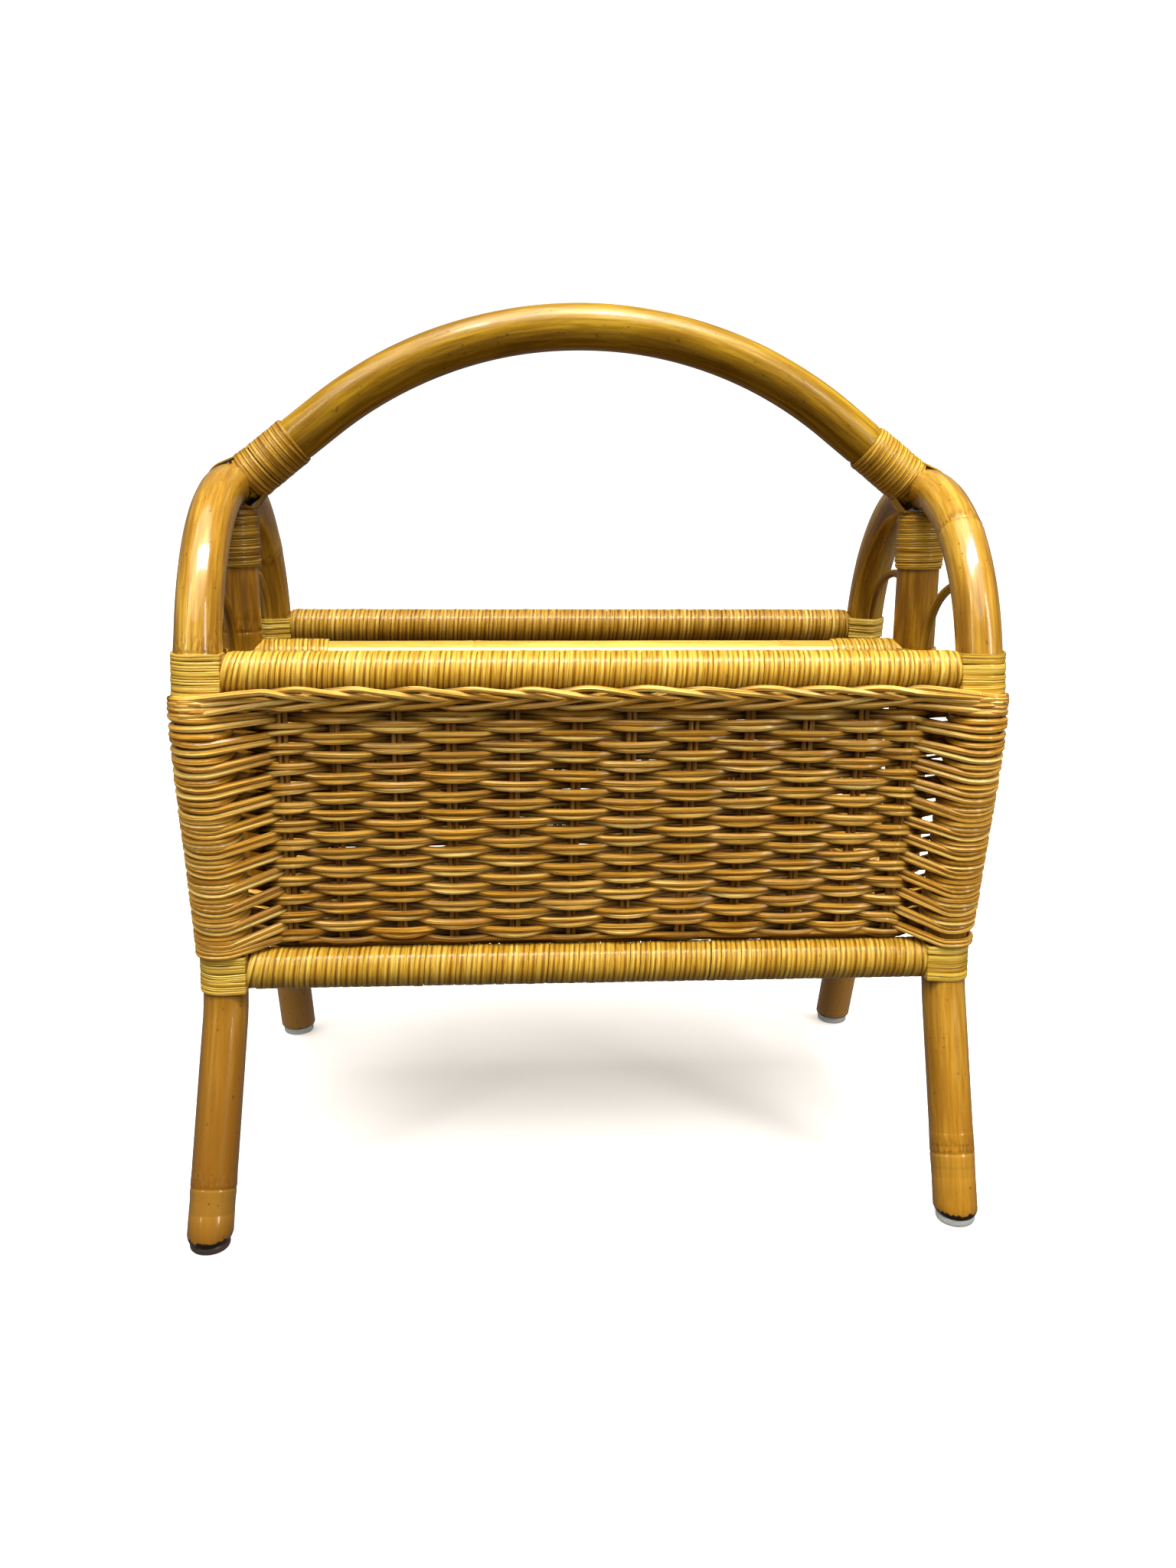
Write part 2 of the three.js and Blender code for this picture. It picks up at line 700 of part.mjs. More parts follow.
// Section corners of the strip, ring by ring, with a straight end one strip width long
function coilRings(coil, origin, axis, out, coreRadius) {
  const width = coilWidth(coil);
  const across = new THREE.Vector3().crossVectors(axis, out);
  const inner = coilInner(coreRadius);
  const rings = [];
  const ring = (angle, lead) => {
    const radial = out.clone().multiplyScalar(Math.cos(angle)).addScaledVector(across, Math.sin(angle));
    const tangent = across.clone().multiplyScalar(Math.cos(angle)).addScaledVector(out, -Math.sin(angle));
    const centre = origin.clone().addScaledVector(axis, (angle / (Math.PI * 2)) * coil.pitch);
    const corners = [[-1, 0], [1, 0], [1, 1], [-1, 1]].map(([side, layer]) => centre.clone()
      .addScaledVector(axis, side * width / 2)
      .addScaledVector(radial, inner + layer * coilCane)
      .addScaledVector(tangent, lead));
    rings.push(corners);
  };
  const steps = coil.turns * coilSteps;
  ring(0, -width);
  for (let i = 0; i <= steps; i += 1) ring((i / coilSteps) * Math.PI * 2, 0);
  ring(coil.turns * Math.PI * 2, width);
  return rings;
}

// The least distance between section corners that lie more than half a turn apart
function leastGap(rings) {
  let least = Infinity;
  rings.forEach((near, i) => {
    for (const far of rings.slice(i + 1 + coilSteps / 2)) {
      for (const a of near) {
        for (const b of far) least = Math.min(least, a.distanceTo(b));
      }
    }
  });
  return least;
}

function coilGeometry(rings) {
  const positions = rings.flat().flatMap((corner) => corner.toArray());
  const index = [];
  const corners = rings[0].length;
  for (let i = 0; i < rings.length - 1; i += 1) {
    for (let j = 0; j < corners; j += 1) {
      const a = i * corners + j;
      const b = i * corners + ((j + 1) % corners);
      index.push(a, b, a + corners, b, b + corners, a + corners);
    }
  }
  const last = (rings.length - 1) * corners;
  index.push(0, 2, 1, 0, 3, 2, last, last + 1, last + 2, last, last + 2, last + 3);
  return indexed(positions, index);
}

function addCoil(name, coil, origin, axis, out, coreRadius) {
  const rings = coilRings(coil, origin, axis, out, coreRadius);
  console.log(`${name}: least gap to itself ${leastGap(rings).toFixed(2)} mm`);
  add(name, coilGeometry(rings), caneFinish);
}

function makeCoils() {
  const up = new THREE.Vector3(0, 0, 1);
  const back = new THREE.Vector3(0, 1, 0);
  for (const [side, x] of sides) {
    const sign = Math.sign(x);
    const handleAxis = new THREE.Vector3(-sign * Math.cos(handleSlope), 0, Math.sin(handleSlope));
    addCoil(`handle_winding_${side}`, handleCoil, handlePoint(sign, handleCoilStart), handleAxis, back,
      handleNeckRadius);
    const postStart = new THREE.Vector3(x, 0, postTop - gap - coilWidth(postCoil) / 2);
    addCoil(`post_winding_${side}`, postCoil, postStart, up.clone().negate(), back, postRadius);
    const railStart = sign * (middleCoilStart - coilWidth(middleCoil) / 2);
    addCoil(`middle_winding_${side}`, middleCoil, new THREE.Vector3(railStart, 0, middleRailHeight),
      new THREE.Vector3(-sign, 0, 0), back, middleRailRadius);
  }
}

makeSideArches();
makeGlides();
makePostsAndCrossRails();
makeRails();
makeRailWindings();
makeWeave();
makeStakes();
makeBraids();
makeLoops();
makeTopTies();
makeBottomTies();
makePostTies();
makeHandle();
makeArchStraps();
makeCoils();

export default basket;
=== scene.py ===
# %% [markdown]
# # A rattan magazine basket
#
# The real basket is bent and lashed by hand. Two rattan poles are steamed into arches that end in splayed
# legs, straight rails tie them together, round reed is woven over pairs of stakes, and flat cane is wound
# round every joint. Almost everything is a long thing laid along a line, so most of this lesson is about
# drawing lines well: a curve gets a thickness, becomes a mesh, and keeps a map that tells its material how
# far along it we are.
#
# All sizes are written in millimetres and turned into metres when a mesh is made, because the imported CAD
# model, which this scene has to fit, is in metres.

# %% Load the frame
import math
import bpy
import numpy as np
from mathutils import Matrix, Vector


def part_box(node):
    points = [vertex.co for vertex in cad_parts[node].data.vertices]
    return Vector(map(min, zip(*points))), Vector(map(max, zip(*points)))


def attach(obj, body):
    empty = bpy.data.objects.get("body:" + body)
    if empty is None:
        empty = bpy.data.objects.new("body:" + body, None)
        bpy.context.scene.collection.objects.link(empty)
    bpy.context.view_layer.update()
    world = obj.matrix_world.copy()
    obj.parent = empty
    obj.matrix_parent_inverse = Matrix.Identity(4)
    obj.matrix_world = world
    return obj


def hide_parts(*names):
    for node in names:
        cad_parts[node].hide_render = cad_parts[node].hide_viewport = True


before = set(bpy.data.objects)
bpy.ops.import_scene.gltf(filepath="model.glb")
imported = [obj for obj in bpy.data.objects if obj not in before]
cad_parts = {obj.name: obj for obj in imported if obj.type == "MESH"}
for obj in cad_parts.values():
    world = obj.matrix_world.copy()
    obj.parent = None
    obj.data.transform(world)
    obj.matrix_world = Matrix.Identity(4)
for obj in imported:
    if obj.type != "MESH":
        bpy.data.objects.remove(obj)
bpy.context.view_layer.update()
mm = 0.001
both_sides = (("left", -1), ("right", 1))
both_faces = (("front", -1), ("rear", 1))
chance = np.random.default_rng(7)
print("nodes in the frame:", len(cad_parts))

# %% [markdown]
# ## The camera
#
# The photograph was taken from a little left of the middle and from just under the height of the handle,
# looking slightly down. A camera can be placed by hand until things line up, but here its place, aim and
# lens were worked out once from the feet and corners of the basket, and are written down as plain numbers.
# The aim is given as three turns, and the lens as the length that a 36 mm high frame would need.

# %% Place the camera
camera_place = Vector((-48.4, -760.8, 395.3)) * mm
camera_yaw = math.radians(3.91)
camera_pitch = math.radians(13.17)
camera_roll = math.radians(-0.42)
frame_height = 36.0
lens_length = 29.51

forward = Vector((
    math.sin(camera_yaw) * math.cos(camera_pitch),
    math.cos(camera_yaw) * math.cos(camera_pitch),
    -math.sin(camera_pitch),
))
level = Vector((math.cos(camera_yaw), -math.sin(camera_yaw), 0))
steep = forward.cross(level)
right = level * math.cos(camera_roll) + steep * math.sin(camera_roll)
down = steep * math.cos(camera_roll) - level * math.sin(camera_roll)

bpy.ops.object.camera_add(location=camera_place)
camera = bpy.context.object
camera.name = "camera"
camera_turn = Matrix((right, -down, -forward)).transposed().to_4x4()
camera.matrix_world = Matrix.Translation(camera_place) @ camera_turn
camera.data.sensor_fit = "VERTICAL"
camera.data.sensor_height = frame_height
camera.data.lens = lens_length
bpy.context.scene.camera = camera
print("camera looks along", tuple(round(v, 3) for v in forward))

# %% [markdown]
# ## Helpers for lines and lengths
#
# A piece of this basket is nearly always a *run*: a list of points that something long and thin follows. A
# few small helpers are enough to make runs: one steps round an arc, one measures how far along the line
# each point lies, one spreads the points evenly, one joins a few points with a smooth line, and one makes a
# slow random wobble.

# %% Runs of points
def arc(centre, radius, start, stop, count):
    """Points round an arc in a plane, angles in radians, both ends included."""
    return [
        (centre[0] + radius * math.cos(a), centre[1] + radius * math.sin(a))
        for a in np.linspace(start, stop, count)
    ]


def lengths(points):
    """Distance from the first point to each point of a run."""
    steps = np.linalg.norm(np.diff(np.asarray(points), axis=0), axis=1)
    return np.concatenate([[0], np.cumsum(steps)])


def even(points, step):
    """The same line with a point every step, or a little less."""
    points = np.asarray(points, float)
    along = lengths(points)
    places = np.linspace(0, along[-1], max(2, math.ceil(along[-1] / step) + 1))
    return np.stack([np.interp(places, along, points[:, k]) for k in range(points.shape[1])], axis=1)


def smooth(points, per_span=8):
    """A Catmull-Rom line through a few points."""
    p = np.asarray(points, float)
    p = np.vstack([2 * p[0] - p[1], p, 2 * p[-1] - p[-2]])
    t = np.linspace(0, 1, per_span, endpoint=False)[:, None]
    spans = [
        0.5 * (2 * b + (c - a) * t + (2 * a - 5 * b + 4 * c - d) * t**2 + (3 * b - a - 3 * c + d) * t**3)
        for a, b, c, d in zip(p, p[1:], p[2:], p[3:])
    ]
    return np.vstack([*spans, p[-2]])


def wander(count, size, reach):
    """Slow random wobble: random numbers averaged over their neighbours."""
    rough = chance.normal(0, 1, count + 2 * reach)
    soft = np.convolve(rough, np.hanning(2 * reach + 3)[1:-1], "valid")[:count]
    return size * soft / max(np.std(soft), 1e-6)


# %% [markdown]
# ## From a run to a mesh
#
# Blender's curves are made for this. A curve with a round bevel is a rod, and a curve with a drawn section
# is a strip of cane. Converted to a mesh, a curve brings a UV map of its own: U counts the points along it
# and V goes round the section. U is changed here into real metres along the piece, so that grain keeps its
# size on long and short pieces alike. Each run also gets two random numbers, stored as attributes: strand
# shifts the grain, and tone makes the colour lighter or darker, so no two strands of reed look quite the
# same.

# %% Pick a piece and mark its points
def start_fresh():
    bpy.ops.object.select_all(action="DESELECT")


def only(piece):
    """Selects one piece and nothing else."""
    start_fresh()
    piece.select_set(True)
    bpy.context.view_layer.objects.active = piece


def places_of(piece):
    """The points of a piece, in mm."""
    places = np.zeros(len(piece.data.vertices) * 3)
    piece.data.vertices.foreach_get("co", places)
    return places.reshape(-1, 3) / mm


def mark(piece, name, values):
    """Stores a number for every point of a piece, which a material can read by name."""
    piece.data.attributes.new(name, "FLOAT", "POINT").data.foreach_set("value", values)


# %% Draw runs as rods or strips
weld_distance = 0.004 * mm
crease_angle = math.radians(40)


def section_curve(name, outline):
    """A closed flat outline, used as the section of a strip. Outline points are (sideways, up) in mm."""
    data = bpy.data.curves.new(name, "CURVE")
    spline = data.splines.new("POLY")
    spline.points.add(len(outline) - 1)
    for point, (sideways, up) in zip(spline.points, outline):
        point.co = (sideways * mm, up * mm, 0, 1)
    spline.use_cyclic_u = True
    section = bpy.data.objects.new(name, data)
    bpy.context.collection.objects.link(section)
    return section


def close_up(piece):
    """Merges the doubled points at caps and seams and points all faces outwards."""
    only(piece)
    bpy.ops.object.mode_set(mode="EDIT")
    bpy.ops.mesh.select_all(action="SELECT")
    bpy.ops.mesh.remove_doubles(threshold=weld_distance)
    bpy.ops.mesh.normals_make_consistent(inside=False)
    bpy.ops.object.mode_set(mode="OBJECT")


def draw(name, runs, radius=1.0, sides=8, section=None, scales=None, twist="MINIMUM"):
    """One mesh piece with a rod or strip along every run, in mm. scales thins or thickens each point."""
    data = bpy.data.curves.new(name, "CURVE")
    data.dimensions = "3D"
    data.twist_mode = twist
    data.use_fill_caps = True
    for k, run in enumerate(runs):
        spline = data.splines.new("POLY")
        spline.points.add(len(run) - 1)
        places = np.column_stack([np.asarray(run) * mm, np.ones(len(run))])
        spline.points.foreach_set("co", places.ravel())
        if scales is not None:
            spline.points.foreach_set("radius", np.asarray(scales[k], float))
    if section is None:
        data.bevel_depth = radius * mm
        data.bevel_resolution = (sides - 4) // 2
    else:
        sides = len(section.data.splines[0].points)
        data.bevel_mode = "OBJECT"
        data.bevel_object = section
    piece = bpy.data.objects.new(name, data)
    bpy.context.collection.objects.link(piece)
    only(piece)
    bpy.ops.object.convert(target="MESH")
    piece = bpy.context.object
    measure_strands(piece, runs, sides)
    close_up(piece)
    bpy.ops.object.shade_smooth_by_angle(angle=crease_angle)
    print(f"{name}: {len(runs)} run(s), {len(piece.data.polygons)} faces")
    return piece


def measure_strands(piece, runs, sides):
    """U becomes metres along the run, and every run gets its own strand number and tone."""
    mesh = piece.data
    owner = np.repeat(np.arange(len(runs)), [(len(run) + 2) * sides for run in runs])
    for name in ("strand", "tone"):
        mark(piece, name, chance.random(len(runs))[owner])
    corners = np.zeros(len(mesh.loops), int)
    mesh.loops.foreach_get("vertex_index", corners)
    run_of = owner[corners]
    layer = mesh.uv_layers.active.data
    uv = np.zeros(len(mesh.loops) * 2)
    layer.foreach_get("uv", uv)
    uv = uv.reshape(-1, 2)
    for k, run in enumerate(runs):
        mine = run_of == k
        along = lengths(run) * mm
        spans = len(along) - 1
        uv[mine, 0] = np.interp(uv[mine, 0] * spans, np.arange(spans + 1), along)
    layer.foreach_set("uv", uv.ravel())


# %% [markdown]
# ## Writing materials as sums
#
# A finish such as varnished rattan is mostly arithmetic on a few patterns. To keep that readable, a small
# class wraps a node's output and lets plus, minus and times add the Math nodes. Every other node comes from
# one method, which takes the node's type, its settings and the values or wires of its sockets.

# %% A small language for shader nodes
strand_shift = 50.0


def rgb(red, green, blue):
    return (red, green, blue, 1.0)


class Wire:
    """An output socket that can be used in sums."""

    def __init__(self, board, socket):
        self.board = board
        self.socket = socket

    def math(self, operation, *others):
        return self.board.math(operation, self, *others)

    def __add__(self, other):
        return self.math("ADD", other)

    def __sub__(self, other):
        return self.math("SUBTRACT", other)

    def __mul__(self, other):
        return self.math("MULTIPLY", other)

    def __radd__(self, other):
        return self.board.math("ADD", other, self)

    def __rsub__(self, other):
        return self.board.math("SUBTRACT", other, self)

    def __rmul__(self, other):
        return self.board.math("MULTIPLY", other, self)

    def rise(self, low, high):
        """0 below low, 1 above high, and smooth between."""
        sockets = {0: self, 1: low, 2: high, 3: 0.0, 4: 1.0}
        return self.board.node("ShaderNodeMapRange", {"interpolation_type": "SMOOTHSTEP"}, sockets)

    def bell(self, centre, width):
        """1 at the centre, falling to 0 at width from it."""
        return 1 - (self - centre).math("ABSOLUTE").rise(0.0, width)

    def part(self, number):
        """Another output of the same node."""
        return Wire(self.board, self.socket.node.outputs[number])


class Board:
    """A material and its nodes."""

    def __init__(self, name):
        self.material = bpy.data.materials.new(name)
        self.material.use_nodes = True
        self.tree = self.material.node_tree
        self.shader = self.tree.nodes["Principled BSDF"]

    def node(self, kind, settings, sockets, output=0):
        """Adds a node, sets it up, fills its sockets and gives one of its outputs."""
        made = self.tree.nodes.new(kind)
        for key, value in settings.items():
            setattr(made, key, value)
        for key, value in sockets.items():
            self.plug(made.inputs[key], value)
        return Wire(self, made.outputs[output])

    def plug(self, socket, value):
        if isinstance(value, Wire):
            self.tree.links.new(value.socket, socket)
        else:
            socket.default_value = value

    def math(self, operation, *values):
        return self.node("ShaderNodeMath", {"operation": operation}, dict(enumerate(values)))

    def noise(self, place, scale, detail, roughness):
        sockets = {"Vector": place, "Scale": scale, "Detail": detail, "Roughness": roughness}
        return self.node("ShaderNodeTexNoise", {}, sockets)

    def blend(self, factor, low, high):
        """The colour low where factor is 0, the colour high where it is 1."""
        return self.node("ShaderNodeMix", {"data_type": "RGBA"}, {0: factor, 6: low, 7: high}, output=2)

    def shades(self, tone, dark, middle, pale, low=0.0, high=1.0):
        """A colour for every tone: dark up to low, pale from high, and middle half way."""
        made = self.node("ShaderNodeValToRGB", {}, {0: tone})
        ramp = made.socket.node.color_ramp
        ramp.elements[0].position = low
        ramp.elements[1].position = high
        ramp.elements[0].color = dark
        ramp.elements[1].color = pale
        ramp.elements.new(0.5).color = middle
        return made

    def attribute(self, name):
        return self.node("ShaderNodeAttribute", {"attribute_name": name}, {}, output=2)

    def object_place(self):
        """X, Y and Z in metres."""
        place = self.node("ShaderNodeTexCoord", {}, {}, output=3)
        across = self.node("ShaderNodeSeparateXYZ", {}, {0: place})
        return across, across.part(1), across.part(2)

    def along_and_round(self):
        """Metres along the piece and the share of the way round it."""
        uv = self.node("ShaderNodeUVMap", {"uv_map": "UVMap"}, {})
        along = self.node("ShaderNodeSeparateXYZ", {}, {0: uv})
        return along, along.part(1)

    def grain_place(self, stretch):
        """A place in which grain is drawn out along the piece and closes on itself round it."""
        along, around = self.along_and_round()
        turn = around * (2 * math.pi)
        shift = self.attribute("strand") * strand_shift
        sockets = {0: along * stretch + shift, 1: turn.math("COSINE"), 2: turn.math("SINE")}
        return self.node("ShaderNodeCombineXYZ", {}, sockets)

    def bump(self, height, distance, strength):
        sockets = {"Height": height, "Distance": distance, "Strength": strength}
        return self.node("ShaderNodeBump", {}, sockets)

    def finish(self, colour, roughness, normal=None, coat=0.0, blur=0.1, specular=0.5, tint=(1, 1, 1)):
        """Fills the shader. coat is how much varnish there is, and blur how rough it is."""
        self.plug(self.shader.inputs["Base Color"], colour)
        self.plug(self.shader.inputs["Roughness"], roughness)
        self.plug(self.shader.inputs["Coat Weight"], coat)
        self.shader.inputs["Coat Roughness"].default_value = blur
        self.shader.inputs["Specular IOR Level"].default_value = specular
        self.shader.inputs["Specular Tint"].default_value = rgb(*tint)
        if normal is not None:
            self.plug(self.shader.inputs["Normal"], normal)
        return self.material


# %% [markdown]
# ## Dressing a piece
#
# Every finished piece gets one material. It rides on the basket's only body, and it names the plain CAD
# pieces that it stands in for.

# %% Dress a piece
def dress(piece, material, *nodes, slot):
    piece.data.materials.clear()
    piece.data.materials.append(material)
    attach(piece, "root")
    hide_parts(*nodes)


# %% [markdown]
# ## Varnished rattan
#
# A rattan pole is smooth and glossy, with fine fibres running along it, soft blotches of honey and brown, a
# few dark specks, and a ring at every joint of the plant, where short dark dashes end in a paler band. All
# of it is noise: stretched along the pole for fibres and left broad for blotches. The rings come from an
# attribute called ring, which holds the distance to the nearest joint, in millimetres, and end holds the
# distance to the pole's end, where it is stained dark. A clear coat on top gives the hard highlights. On
# the handle it is rubbed off in places.

# %% Leg tones, painted floor bounce, joints and wear
def tone_legs_and_paint_bounce(board, colour):
    """Front legs are browner and darker near the floor, the left one most of all. Rear legs get a pale tan,
    painted bounce light from the floor.
    """
    across, depth, height = board.object_place()
    back = depth.rise(-0.02, 0.06)
    low = 1 - height.rise(0.04, 0.2)
    left = 0.85 - across.rise(-0.1, 0.1) * 0.75
    colour = board.blend(low * (1 - back) * 0.3, colour, rgb(0.46, 0.20, 0.010))
    colour = board.blend(low * (1 - back) * left, colour, rgb(0.20, 0.085, 0.008))
    # Painted light: the rear legs' pale tan stands in for light bounced up from the white floor.
    return board.blend(low * back * 0.8, colour, rgb(0.60, 0.29, 0.055))


def mark_joints(board, colour, dark, pale):
    """A paler band before each joint, a thin line on it and short dashes behind it."""
    ring = board.attribute("ring")
    dash = board.noise(board.grain_place(24.0), 8.0, 1.0, 0.4)
    scar = ring.rise(0.0, 0.6) * (1 - ring.rise(3.0, 10.0)) * dash.rise(0.47, 0.56)
    line = ring.bell(-0.4, 0.7) * 0.4
    paler = ring.rise(-30.0, -3.0) * (1 - ring.rise(-1.0, -0.2)) * 0.14
    colour = board.blend(paler, colour, pale)
    colour = board.blend((scar * 0.55 + line).math("MINIMUM", 0.85), colour, dark)
    return colour, scar


def wear_pole(board, colour, stain):
    """Dark specks, pale scuffs in the varnish, and a ragged dark stain at the ends."""
    speck = board.noise(board.grain_place(70.0), 5.5, 0.0, 0.5).rise(0.8, 0.82) * 0.5
    scuff = board.noise(board.grain_place(30.0), 3.1, 5.0, 0.75).rise(0.735, 0.76)
    ragged = board.attribute("end") + board.noise(board.grain_place(60.0), 3.0, 3.0, 0.6) * stain
    stained = 1 - ragged.rise(stain * 0.9, stain * 1.1)
    colour = board.blend(speck, colour, rgb(0.06, 0.03, 0.012))
    colour = board.blend(scuff * 0.7, colour, rgb(0.85, 0.68, 0.42))
    colour = board.blend(stained, colour, rgb(0.014, 0.008, 0.004))
    return colour, scuff


# %% Mix the poles' finishes
def rattan_finish(name, dark, middle, pale, shine, stain, blur=0.07, worn=0.0):
    """stain is how far the dark ends reach, in mm, and worn how much of the varnish is rubbed off."""
    board = Board(name)
    fibre = board.noise(board.grain_place(5.0), 6.0, 5.0, 0.65)
    hair = board.noise(board.grain_place(14.0), 20.0, 2.0, 0.5)
    cloud = board.noise(board.grain_place(11.0), 0.8, 3.0, 0.55)
    tone = cloud.rise(0.3, 0.72) * 0.36 + fibre.rise(0.34, 0.68) * 0.36 + 0.12
    colour = board.shades(tone, dark, middle, pale)
    colour = board.blend(hair.rise(0.6, 0.74) * 0.3, colour, dark)
    colour = tone_legs_and_paint_bounce(board, colour)
    colour, scar = mark_joints(board, colour, dark, pale)
    colour, scuff = wear_pole(board, colour, stain)
    rough = hair * 0.12 + scuff * 0.3 + shine
    normal = board.bump(fibre * 0.5 + hair * 0.35 - scar * 0.5 - scuff * 0.5, 0.00022, 0.55)
    coat = 0.5
    if worn:
        patch = board.noise(board.grain_place(9.0), 1.6, 5.0, 0.7).rise(0.44, 0.56)
        coat = coat - patch * (coat * worn)
    return board.finish(colour, rough, normal, coat, blur, specular=0.4, tint=(1.0, 0.9, 0.72))


pole_material = rattan_finish(
    "rattan_pole", dark=rgb(0.17, 0.072, 0.004), middle=rgb(0.37, 0.195, 0.020), pale=rgb(0.58, 0.38, 0.07),
    shine=0.2, stain=5.0,
)
pale_pole_material = rattan_finish(
    "pale_pole", dark=rgb(0.38, 0.19, 0.02), middle=rgb(0.54, 0.33, 0.045), pale=rgb(0.70, 0.49, 0.11),
    shine=0.25, stain=0.01,
)
post_material = rattan_finish(
    "post_pole", dark=rgb(0.09, 0.034, 0.002), middle=rgb(0.27, 0.125, 0.009), pale=rgb(0.45, 0.245, 0.024),
    shine=0.24, stain=0.01,
)
handle_material = rattan_finish(
    "handle_pole", dark=rgb(0.12, 0.050, 0.001), middle=rgb(0.29, 0.158, 0.006), pale=rgb(0.49, 0.32, 0.028),
    shine=0.3, stain=12.0, blur=0.16, worn=0.9,
)
print("pole finishes:", pole_material.name, pale_pole_material.name, post_material.name, handle_material.name)

# %% [markdown]
# ## The line of the side arches
#
# Each side of the basket is one pole, bent twice into splayed legs and once into a round arch. Its centre
# line is made of straight stretches and arcs that run smoothly into each other, so a few radii and two
# angles say it all. The line is drawn once for the front half and mirrored.

# %% The line of the side arches
half_width = 200.0
pole_radius = 12.0
arch_radius = 112.0
arch_centre_height = 281.0
basket_lean = math.radians(11.3)
leg_lean = math.radians(21.3)
bend_height = 136.0
bend_radius = 90.0
glide_height = 4.5
fit_gap = 0.3

tangent_y = arch_radius * math.cos(basket_lean)
tangent_height = arch_centre_height - arch_radius * math.sin(basket_lean)
bend_y = tangent_y - (tangent_height - bend_height) * math.tan(basket_lean)
bend_reach = bend_radius * math.tan((basket_lean + leg_lean) / 2)
bend_centre = (
    -(bend_y + bend_reach * math.sin(basket_lean) + bend_radius * math.cos(basket_lean)),
    bend_height + bend_reach * math.cos(basket_lean) - bend_radius * math.sin(basket_lean),
)
foot_height = glide_height + fit_gap
foot_y = bend_y + (bend_height - foot_height) * math.tan(leg_lean)

front_half = (
    [(-foot_y, foot_height)]
    + arc(bend_centre, bend_radius, -leg_lean, basket_lean, 24)
    + arc((0.0, arch_centre_height), arch_radius, math.pi + basket_lean, math.pi / 2, 48)
)
arch_line = front_half + [(-y, z) for y, z in reversed(front_half[:-1])]
print("each arch is", round(lengths(arch_line)[-1]), "mm of pole")


def pole_y(height):
    """Distance of an arch's centre line from the middle plane, at a height below its top."""
    heights = [z for y, z in front_half]
    return float(np.interp(height, heights, [-y for y, z in front_half]))


# %% [markdown]
# ## A pole and its joints
#
# At every joint of the plant a pole swells a little and has a fine notch. The points are closer there, so
# that the swelling has a crisp edge. Every point also remembers how far it is from the nearest joint and
# from the pole's end, because the finish draws scars and stains by that. The foot of a leg is sawn off flat
# on the floor while the leg leans, so the last rings of points are turned level.

# %% Draw a pole with its joints
swell = 0.022
swell_width = 5.0
swell_reach = 14.0
notch = 0.02
notch_place = -0.4
notch_width = 0.8
pole_step = 6.0
no_joint = 1000.0
ring_limit = 50.0
foot_reach = 14.0
plain_ends = ((0, 1), (1, 1))


def pole_places(length, joints, ends):
    """Where along a pole the rings of points lie: evenly spread, and closer at joints and ends."""
    round_joint = np.concatenate([np.linspace(-swell_reach, swell_reach, 29), [-0.5, 0.5]])
    near = [joint + offset for joint in joints for offset in round_joint]
    near += [place for distance, _ in ends for place in (distance, length - distance)]
    evenly = np.linspace(0, length, math.ceil(length / pole_step))
    return np.unique(np.round(np.concatenate([evenly, [p for p in near if 0 < p < length]]), 2))


def pole_run(points, joints, ends):
    """Points, their thickness, the distance to the nearest joint and to the nearer end. ends holds pairs of
    distance from the end and thickness."""
    points = np.asarray(points, float)
    along = lengths(points)
    places = pole_places(along[-1], joints, ends)
    run = np.stack([np.interp(places, along, points[:, k]) for k in range(3)], axis=1)
    far = np.full(len(places), no_joint)
    for joint in joints:
        offset = places - joint
        far = np.where(np.abs(offset) < np.abs(far), offset, far)
    bulge = swell * np.exp(-((far / swell_width) ** 2))
    bulge -= notch * np.exp(-(((far - notch_place) / notch_width) ** 2))
    inside = np.minimum(places, along[-1] - places)
    scale = np.interp(inside, *zip(*ends)) * (1 + bulge + wander(len(places), 0.004, 8))
    return run, scale, far, inside


def level_feet(piece, run, nearest, inside):
    """Turns the last rings of a leg level."""
    axis = np.gradient(run, axis=0)
    axis /= np.linalg.norm(axis, axis=1)[:, None]
    for vertex, ring in zip(piece.data.vertices, nearest):
        if inside[ring] < foot_reach:
            off = vertex.co.z / mm - run[ring, 2]
            slide = -off * (1 - inside[ring] / foot_reach) / axis[ring, 2]
            vertex.co += Vector(axis[ring] * slide * mm)


def pole(name, points, radius, joints, material, *nodes, slot="rattan_pole", sides=24, ends=plain_ends,
         feet=False):
    run, scale, far, inside = pole_run(points, joints, ends)
    piece = draw(name, [run], radius, sides, scales=[scale])
    nearest = np.array([np.argmin(((run - p) ** 2).sum(axis=1)) for p in places_of(piece)])
    for attribute, values in (("ring", far), ("end", inside)):
        mark(piece, attribute, np.clip(values[nearest], -ring_limit, ring_limit))
    if feet:
        level_feet(piece, run, nearest, inside)
    dress(piece, material, *nodes, slot=slot)


# %% [markdown]
# ## The two arches
#
# The feet are rounded off a little. The front left leg of the real basket was bent further forwards and
# outwards than the others, so everything below its bend is skewed by a few millimetres.

# %% Draw the two arches
arch_joints = {"left": [26.0, 318.0, 560.0, 850.0], "right": [32.0, 390.0, 690.0, 868.0]}
foot_ends = ((0, 0.86), (0.8, 0.94), (2.5, 1.0))
odd_foot = np.array([-5.0, -4.0, 0.0])
odd_leg_top = bend_height - 24.0


def skew(places):
    """Moves the front left leg outwards and forwards, more towards its foot."""
    places = np.asarray(places, float)
    lower = np.clip((odd_leg_top - places[:, 2]) / (odd_leg_top - foot_height), 0, 1)
    return places + np.outer(lower * (places[:, 1] < 0) * (places[:, 0] < 0), odd_foot)


for side, sign in both_sides:
    line = skew([(sign * half_width, y, z) for y, z in arch_line])
    pole(f"arch_{side}", line, pole_radius, arch_joints[side], pole_material, f"side_arch_{side}",
         ends=foot_ends, feet=True)

